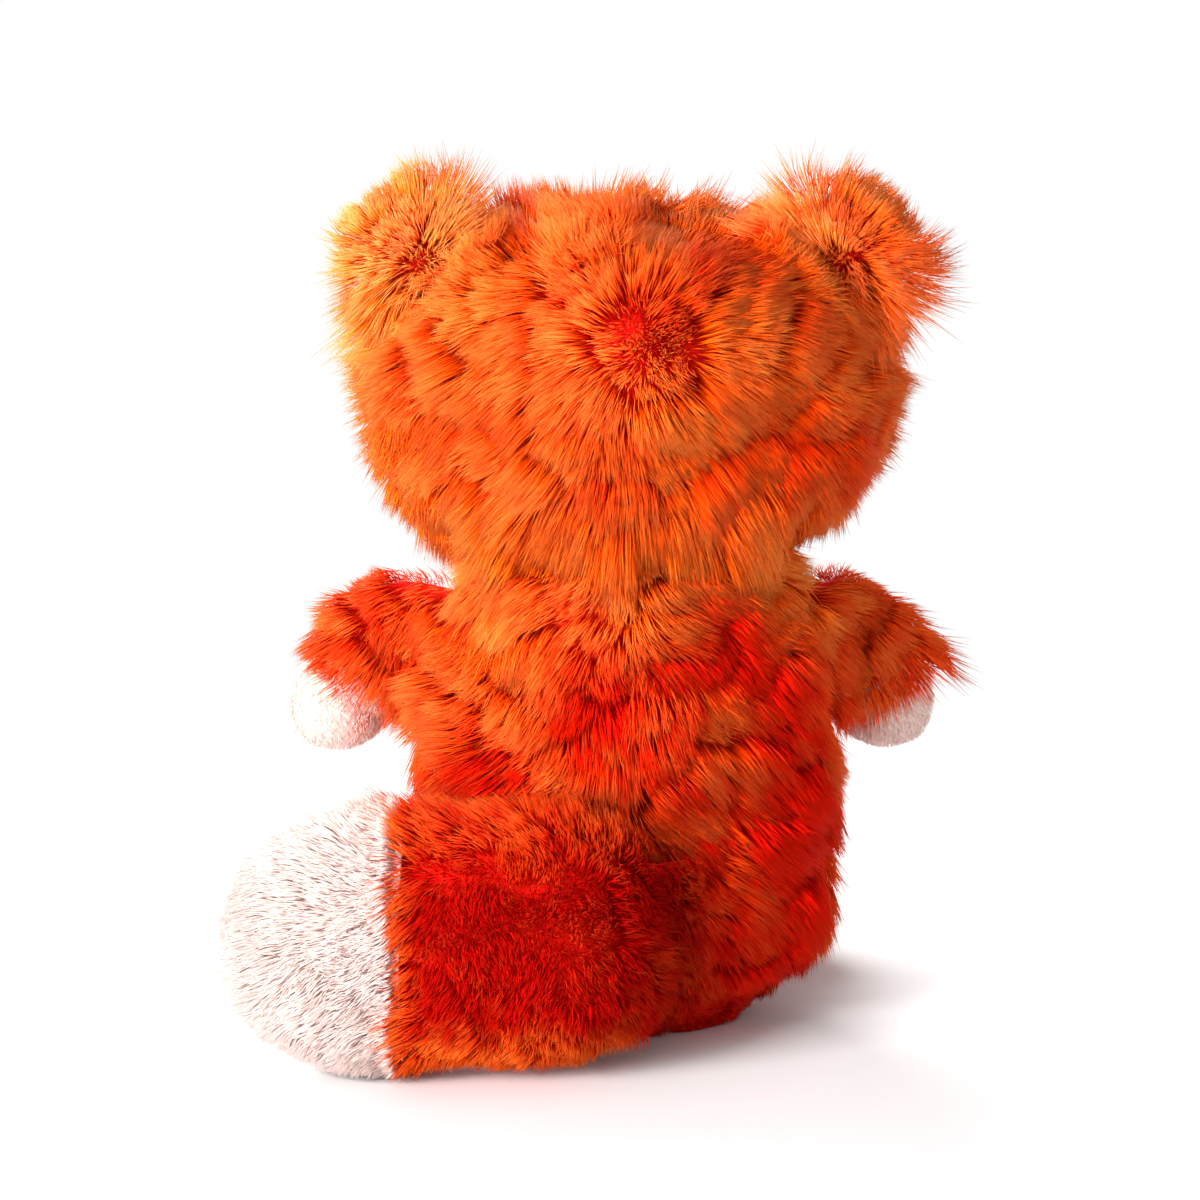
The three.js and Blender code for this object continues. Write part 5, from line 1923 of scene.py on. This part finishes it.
class StitchTree(MeshTree):
    """Lays short stitches end to end along lines."""

    OVERLAP = 1.25  # a stitch's length, in pitches

    def __init__(self) -> None:
        """Builds the tree."""
        super().__init__("stitch_run", {"pitch": "Float", "width": "Float", "material": "Material"})
        make, given = self.make, self.given
        line = make.add("GeometryNodeMeshToCurve", {0: given["shape"]}).outputs[0]
        line = {"Curve": line, "Length": given["pitch"]}
        run = make.add("GeometryNodeResampleCurve", line, mode="LENGTH").outputs[0]
        along = make.add("GeometryNodeInputTangent").outputs[0]
        thread = make.add("GeometryNodeMeshUVSphere", {"Segments": 8, "Rings": 6, "Radius": 0.5}).outputs[0]
        length = make.math("MULTIPLY", given["pitch"], self.OVERLAP)
        size = make.join(given["width"], given["width"], length)
        self.end(self.repeat(run, thread, self.aligned(along), size))

    def sew(self, name: str, lines: Sequence[Array], pitch: float, width: float) -> Object:
        """Sews along lines and makes the stitches one plain piece.

        Args:
            name: the piece's name.
            lines: the points of each line.
            pitch: the length of a stitch.
            width: the thread's width.

        Returns:
            The stitches.
        """
        edges: list[tuple[int, int]] = []
        first = 0
        for line in lines:
            edges += [(first + i, first + i + 1) for i in range(len(line) - 1)]
            first += len(line)
        mesh = bpy.data.meshes.new(f"{name}_line")
        mesh.from_pydata(np.concatenate(lines).tolist(), edges, [])
        return self.run(name, mesh, {"pitch": pitch, "width": width, "material": material_of(STITCH)})


@dataclass
class Face:
    """A plain plush face: pale muzzle and cheeks, stitched nose and mouth, and two dark eyes."""

    head: Head
    muzzle: Size = (40 * MM, 26 * MM, 27 * MM)  # width, depth, height
    muzzle_drop: float = 11 * MM
    muzzle_inset: float = 0.8 * MM
    muzzle_front: Fade = Fade(2 * MM, 9 * MM)  # forwards, where crease and lobes are
    crease: float = 1.6 * MM
    crease_width: float = 2.2 * MM
    crease_top: Fade = Fade(-4 * MM, 3 * MM)  # downwards
    lobe: float = 0.9 * MM
    lobe_place: float = 8.5 * MM
    lobe_width: float = 6 * MM
    lobe_top: Fade = Fade(-5 * MM, 2 * MM)  # downwards
    nose: Size = (13 * MM, 8 * MM, 9 * MM)
    nose_tilt: float = 40.0
    nose_taper: Fade = Fade(-1 * MM, 4.5 * MM, 0.4)  # downwards
    nose_bare: Fade = Fade(5 * MM, 7 * MM)  # round the nose, where no nap grows
    mouth: float = 3.5 * MM  # half the line below the nose
    mouth_arc: tuple[float, float] = (6.5 * MM, 4.0 * MM)  # half width and height to either side
    mouth_turn: float = 115.0
    mouth_proud: float = 1.6 * MM
    stitch: tuple[float, float] = (1.6 * MM, 0.9 * MM)  # pitch and width
    eye: Size = (11 * MM, 6 * MM, 11 * MM)
    eye_root: float = 2.2  # how far an eye runs back, in half depths
    cheek: tuple[float, float] = (26 * MM, 30 * MM)  # width, height
    cheek_place: tuple[float, float] = (29 * MM, 117 * MM)  # beside, above
    cheek_proud: float = 3.5 * MM
    cheek_gap: float = 3 * MM  # above the neck
    cheek_fall: float = 8 * MM  # above the muzzle, where its fur sweeps from
    cheek_front: Fade = Fade(-0.2, 0.3)  # forwards, where it grows
    nap: Pile = Pile(
        PALE_PILE, 3.2 * MM, 4.2, width=0.29 * MM, lock_size=4 * MM, lock_ends=0.1, tuft_size=1.6 * MM
    )
    cheek_pile: Pile = Pile(PALE_PILE, 7.5 * MM, 5.0, width=0.28 * MM, **SOFT_LOCKS)

    @property
    def muzzle_middle(self) -> Array:
        """The middle of the muzzle, on the front of the head."""
        height = self.head.middle - self.muzzle_drop
        return np.array([0.0, -self.head.face_depth(0.0, height), height])

    @property
    def nose_middle(self) -> Array:
        """The middle of the nose, on the upper front of the muzzle."""
        tilt, (_, depth, height) = math.radians(self.nose_tilt), self.muzzle
        return self.muzzle_middle + np.array([0.0, -depth / 2 * math.cos(tilt), height / 2 * math.sin(tilt)])

    @cached_property
    def muzzle_form(self) -> Form:
        """The muzzle: a puff that is drawn in along its middle, under the nose."""
        middle = self.muzzle_middle
        form = Form.ball(middle, [size / 2 - self.muzzle_inset for size in self.muzzle], rings=32, sides=48)
        beside, behind, above = (form.points - middle).T
        crease = np.exp(-((beside / self.crease_width) ** 2)) * self.crease_top(-above)
        lobes = np.exp(-(((np.abs(beside) - self.lobe_place) / self.lobe_width) ** 2)) * self.lobe_top(-above)
        form.points[:, 1] += self.muzzle_front(-behind) * (self.crease * crease - self.lobe * lobes)
        return form

    def muzzle_point(self, beside: float, above: float) -> Array:
        """A place on the front of the muzzle."""
        wide, deep, high = (size / 2 for size in self.muzzle)
        rest = max(0.0, 1 - (beside / wide) ** 2 - (above / high) ** 2)
        return self.muzzle_middle + np.array([beside, -deep * math.sqrt(rest), above])

    @cached_property
    def nose_form(self) -> Form:
        """The nose: a soft triangle, wide at the top."""
        middle = self.nose_middle
        form = Form.ball(middle, [size / 2 for size in self.nose], rings=22, sides=36)
        form.points[:, 0] *= 1 - self.nose_taper(middle[2] - form.points[:, 2])
        return form

    def eye_form(self, side: Side) -> Form:
        """One eye: a dome that runs back into the pile.

        Args:
            side: which eye.

        Returns:
            The form.
        """
        beside, height = self.head.eye
        middle = np.array([side.value * beside, -self.head.face_depth(beside, height), height])
        form = Form.ball(middle, [size / 2 for size in self.eye], rings=22, sides=36)
        behind = form.points[:, 1] - middle[1]
        form.points[:, 1] = middle[1] + np.where(behind > 0, behind * self.eye_root, behind)
        return form

    def on_cheek(self, side: Side, across: float, above: float, lift: float) -> Array:
        """A place on a cheek, a low pad that follows the front of the head.

        Args:
            side: which cheek.
            across: how far from its middle, in half widths.
            above: how far above it, in half heights.
            lift: how far off the head's backing.

        Returns:
            The place.
        """
        beside = self.cheek_place[0] + across * self.cheek[0] / 2
        height = self.cheek_place[1] + above * self.cheek[1] / 2
        height = max(height, self.head.seam + self.cheek_gap)
        depth = self.head.face_depth(beside, height) - self.head.face_inset
        return np.array([side.value * beside, -depth - lift, height])

    @cached_property
    def mouth_lines(self) -> list[Array]:
        """The mouth: a short line down from the nose and an arc to either side."""
        wide, high = self.mouth_arc
        angles = np.linspace(0, math.radians(self.mouth_turn), 12)
        places = [[(0.0, height) for height in np.linspace(self.mouth, -self.mouth, 8)]]
        for side in Side:
            arc = [(side.value * wide * (1 - math.cos(a)), -self.mouth - high * math.sin(a)) for a in angles]
            places.append(arc)
        lines = [np.array([self.muzzle_point(*spot) for spot in line]) for line in places]
        return [line - BACK * self.mouth_proud for line in lines]

    def grow_muzzle(self, points: Array, normals: Array) -> Growth:
        """Nap that runs outwards from the nose."""
        nose, lie = self.nose_middle, 0.7
        comb = tangent(points - self.muzzle_point(0.0, 6 * MM), normals) * lie
        cover = smooth(self.head.face_inset - (points[:, 1] - self.muzzle_middle[1]), 0, 2 * MM)
        cover *= self.nose_bare(np.hypot(points[:, 0] - nose[0], points[:, 2] - nose[2]))
        return Growth(comb, cover=cover)

    def grow_cheek(self, points: Array, normals: Array) -> Growth:
        """Fur that sweeps outwards and down from the muzzle."""
        comb = tangent(points - self.muzzle_middle - UP * self.cheek_fall, normals)
        return Growth(comb, cover=self.cheek_front(-normals[:, 1]))

    def build(self, dress: Dresser) -> None:
        """Makes the face's pieces."""
        muzzle = Cloth(self.muzzle_form, "head", Slot.PALE)
        dress.skin("muzzle_skin", muzzle, PALE_NAP, "muzzle")
        dress.pile("muzzle_nap", muzzle, self.nap, self.grow_muzzle)
        dress.skin("nose_stitched", Cloth(self.nose_form, "head", Slot.THREAD), STITCH, "nose")
        mouth = StitchTree().sew("mouth_stitches", self.mouth_lines, *self.stitch)
        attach(mouth, "head")
        LOG.info("%s: %d faces on head", mouth.name, len(mouth.data.polygons))
        for side in Side:
            word = side.word
            eye = Cloth(self.eye_form(side), "head", Slot.THREAD)
            dress.skin(f"{word}_eye_stitched", eye, STITCH, f"{word}_eye")
            cheek = Cloth(Form.pad(partial(self.on_cheek, side), self.cheek_proud), "head", Slot.PALE)
            dress.skin(f"{word}_cheek_skin", cheek, PALE_BACKING, f"{word}_cheek")
            dress.pile(f"{word}_cheek_pile", cheek, self.cheek_pile, self.grow_cheek)


@dataclass
class Stuffing:
    """Loose fibre wads in the forms that the frame gives them."""

    fill: float = 0.7
    voxel: float = 2.4 * MM
    weld: float = 0.01 * MM
    lump: Drift = Drift(9 * MM, 21, 0.7 * MM)
    sink: float = 0.15 * MM  # how far a wad is drawn in besides its lumps

    def build(self) -> None:
        """Makes a lumpy wad for each filling in the frame."""
        bodies = {"body_filling_front": "body", "body_filling_back": "body"}
        limbs = [f"{side.word}_{limb}" for side in Side for limb in ("arm", "leg")]
        bodies |= {f"{body}_filling": body for body in ("head", "tail", *limbs)}
        for node, body in bodies.items():
            wad = self.wad(node)
            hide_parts(node)
            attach(wad, body)
            LOG.info("%s: %d faces on %s", wad.name, len(wad.data.polygons), body)

    def wad(self, node: str) -> Object:
        """One wad: the frame's form, remeshed and pitted all over.

        Args:
            node: the filling's name in the frame.

        Returns:
            The wad.
        """
        mesh = bpy.data.objects[node].data.copy()
        with edited(mesh) as work:
            bmesh.ops.remove_doubles(work, verts=work.verts[:], dist=self.weld)
        wad = place_piece(f"{node}_wad", mesh)
        remesh = wad.modifiers.new("remesh", "REMESH")
        remesh.mode = "VOXEL"
        remesh.voxel_size = self.voxel
        fresh = settled(wad)
        wad.data = fresh
        fresh.name = wad.name
        points, normals = points_of(fresh)
        depth = np.abs(self.lump(points)[:, :1]) + self.sink
        fresh.vertices.foreach_set("co", (points - normals * depth).ravel())
        fresh.materials.clear()
        fresh.materials.append(material_of(FIBRE))
        fresh.shade_smooth()
        return wad


@dataclass
class Squeaker:
    """The squeaker's moulded parts, which keep the frame's own shapes."""

    bulb: MouldedFinish = BULB
    reed_holder: MouldedFinish = BULB
    reed: MouldedFinish = REED

    def build(self) -> None:
        """Gives the moulded parts their finish."""
        for item in fields(self):
            for slot in bpy.data.objects[f"squeaker_{item.name}"].material_slots:
                slot.material = material_of(getattr(self, item.name))


@dataclass(frozen=True)
class Lamp:
    """One soft lamp: its place, its power in watts and its side in metres."""

    name: str
    place: Size
    power: float
    size: float


@dataclass
class Studio:
    """Pale floor, soft light from the upper left, and the photograph's camera behind the toy."""

    aim: Size = (5.8 * MM, 0.0, 87.3 * MM)
    elevation: float = 10.0
    azimuth: float = 180.0
    distance: float = 1.15
    span: float = 246 * MM  # what the image shows across at the aim
    sensor: float = 36.0
    near: float = 150 * MM  # from here on the floor fades to plain white
    far: float = 320 * MM
    floor_half: float = 30.0
    floor_grey: float = 0.93
    floor_roughness: float = 0.9
    floor_specular: float = 0.1
    room: float = 0.5  # the camera sees it twice as bright
    lamps: tuple[Lamp, ...] = (
        Lamp("key", (0.95, 1.15, 0.5), 46.0, 0.7),
        Lamp("fill", (-0.9, 0.9, 0.6), 1.0, 0.9),
        Lamp("front", (0.55, -1.1, 0.75), 29.0, 0.9),
    )

    @staticmethod
    def _hang(name: str, data: bpy.types.ID, place: Vector, way: Vector) -> Object:
        """Puts a camera or a lamp in the scene with its back towards a way."""
        item = bpy.data.objects.new(name, data)
        item.location = place
        item.rotation_euler = way.to_track_quat("Z", "Y").to_euler()
        bpy.context.scene.collection.objects.link(item)
        return item

    def camera(self) -> None:
        """Sets the camera at the photograph's angle."""
        rise, turn = math.radians(self.elevation), math.radians(self.azimuth)
        way = Vector((math.sin(turn) * math.cos(rise), -math.cos(turn) * math.cos(rise), math.sin(rise)))
        data = bpy.data.cameras.new("camera")
        data.sensor_fit = "HORIZONTAL"
        data.sensor_width = self.sensor
        data.lens = self.sensor * self.distance / self.span
        data.clip_start = 0.01
        bpy.context.scene.camera = self._hang("camera", data, Vector(self.aim) + way * self.distance, way)

    def light(self) -> None:
        """Hangs the lamps, each pointing at the toy."""
        for lamp in self.lamps:
            data = bpy.data.lights.new(lamp.name, "AREA")
            data.energy = lamp.power
            data.size = lamp.size
            place = Vector(lamp.place)
            self._hang(lamp.name, data, place, place - Vector(self.aim))

    def floor(self) -> None:
        """Lays the pale floor."""
        mesh = bpy.data.meshes.new("floor")
        half = self.floor_half
        corners = [(-half, -half, 0), (half, -half, 0), (half, half, 0), (-half, half, 0)]
        mesh.from_pydata(corners, [], [(0, 1, 2, 3)])
        material, make, cloth = blank_material("floor")
        grey = (self.floor_grey,) * 3 + (1,)
        make.fill(cloth, {"Base Color": grey, "Roughness": self.floor_roughness})
        make.fill(cloth, {"Specular IOR Level": self.floor_specular})
        far = {0: make.vector("LENGTH", make.place()), 1: self.near, 2: self.far}
        seen = make.math("MULTIPLY", self._seen(make), make.add("ShaderNodeMapRange", far).outputs[0])
        white = make.add("ShaderNodeEmission", {"Color": (1, 1, 1, 1), "Strength": 1.0}).outputs[0]
        mix = make.add("ShaderNodeMixShader", {0: seen, 1: cloth.outputs[0], 2: white}).outputs[0]
        make.fill(material.node_tree.nodes["Material Output"], {"Surface": mix})
        place_piece("floor", mesh, material)

    @staticmethod
    def _seen(make: NodeMaker) -> Socket:
        """1 for what the camera sees straight, in a mirror or through glass, else 0."""
        path = make.add("ShaderNodeLightPath").outputs
        seen = make.math("MAXIMUM", path["Is Camera Ray"], path["Is Glossy Ray"])
        return make.math("MAXIMUM", seen, path["Is Transmission Ray"])

    def world(self) -> None:
        """Lights the room evenly and shows it white to the camera."""
        world = bpy.data.worlds.new("room")
        world.use_nodes = True
        bpy.context.scene.world = world
        make = NodeMaker(world.node_tree)
        strength = make.math("MULTIPLY_ADD", self._seen(make), self.room, self.room)
        make.fill(world.node_tree.nodes["Background"], {"Color": (1, 1, 1, 1), "Strength": strength})

    def build(self) -> None:
        """Sets the whole stage."""
        self.camera()
        self.floor()
        self.world()
        self.light()
        bpy.context.scene.view_settings.view_transform = "Standard"


def main() -> None:
    """Builds the toy on its frame, sub-assembly by sub-assembly."""
    logging.basicConfig(level=logging.INFO, format="%(message)s")
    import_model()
    dress = Dresser()
    Studio().build()
    head, body = Head(), Body()
    head.build(dress)
    body.build(dress)
    # the left ear's back is painted brighter as light, the right one's deeper as shade
    for side, tone, trim in ((Side.LEFT, 0.15, 0.56), (Side.RIGHT, -0.15, 0.4)):
        Ear(side, head, tone, trim).build(dress)
        Leg(side, body).build(dress)
    Arm(Side.LEFT, 2.0, body).build(dress)
    Arm(Side.RIGHT, 38.0, body, trim=-0.6, sweep=2.4).build(dress)
    Tail(body).build(dress)
    Face(head).build(dress)
    Stuffing().build()
    Squeaker().build()


if __name__ == "__main__":
    main()
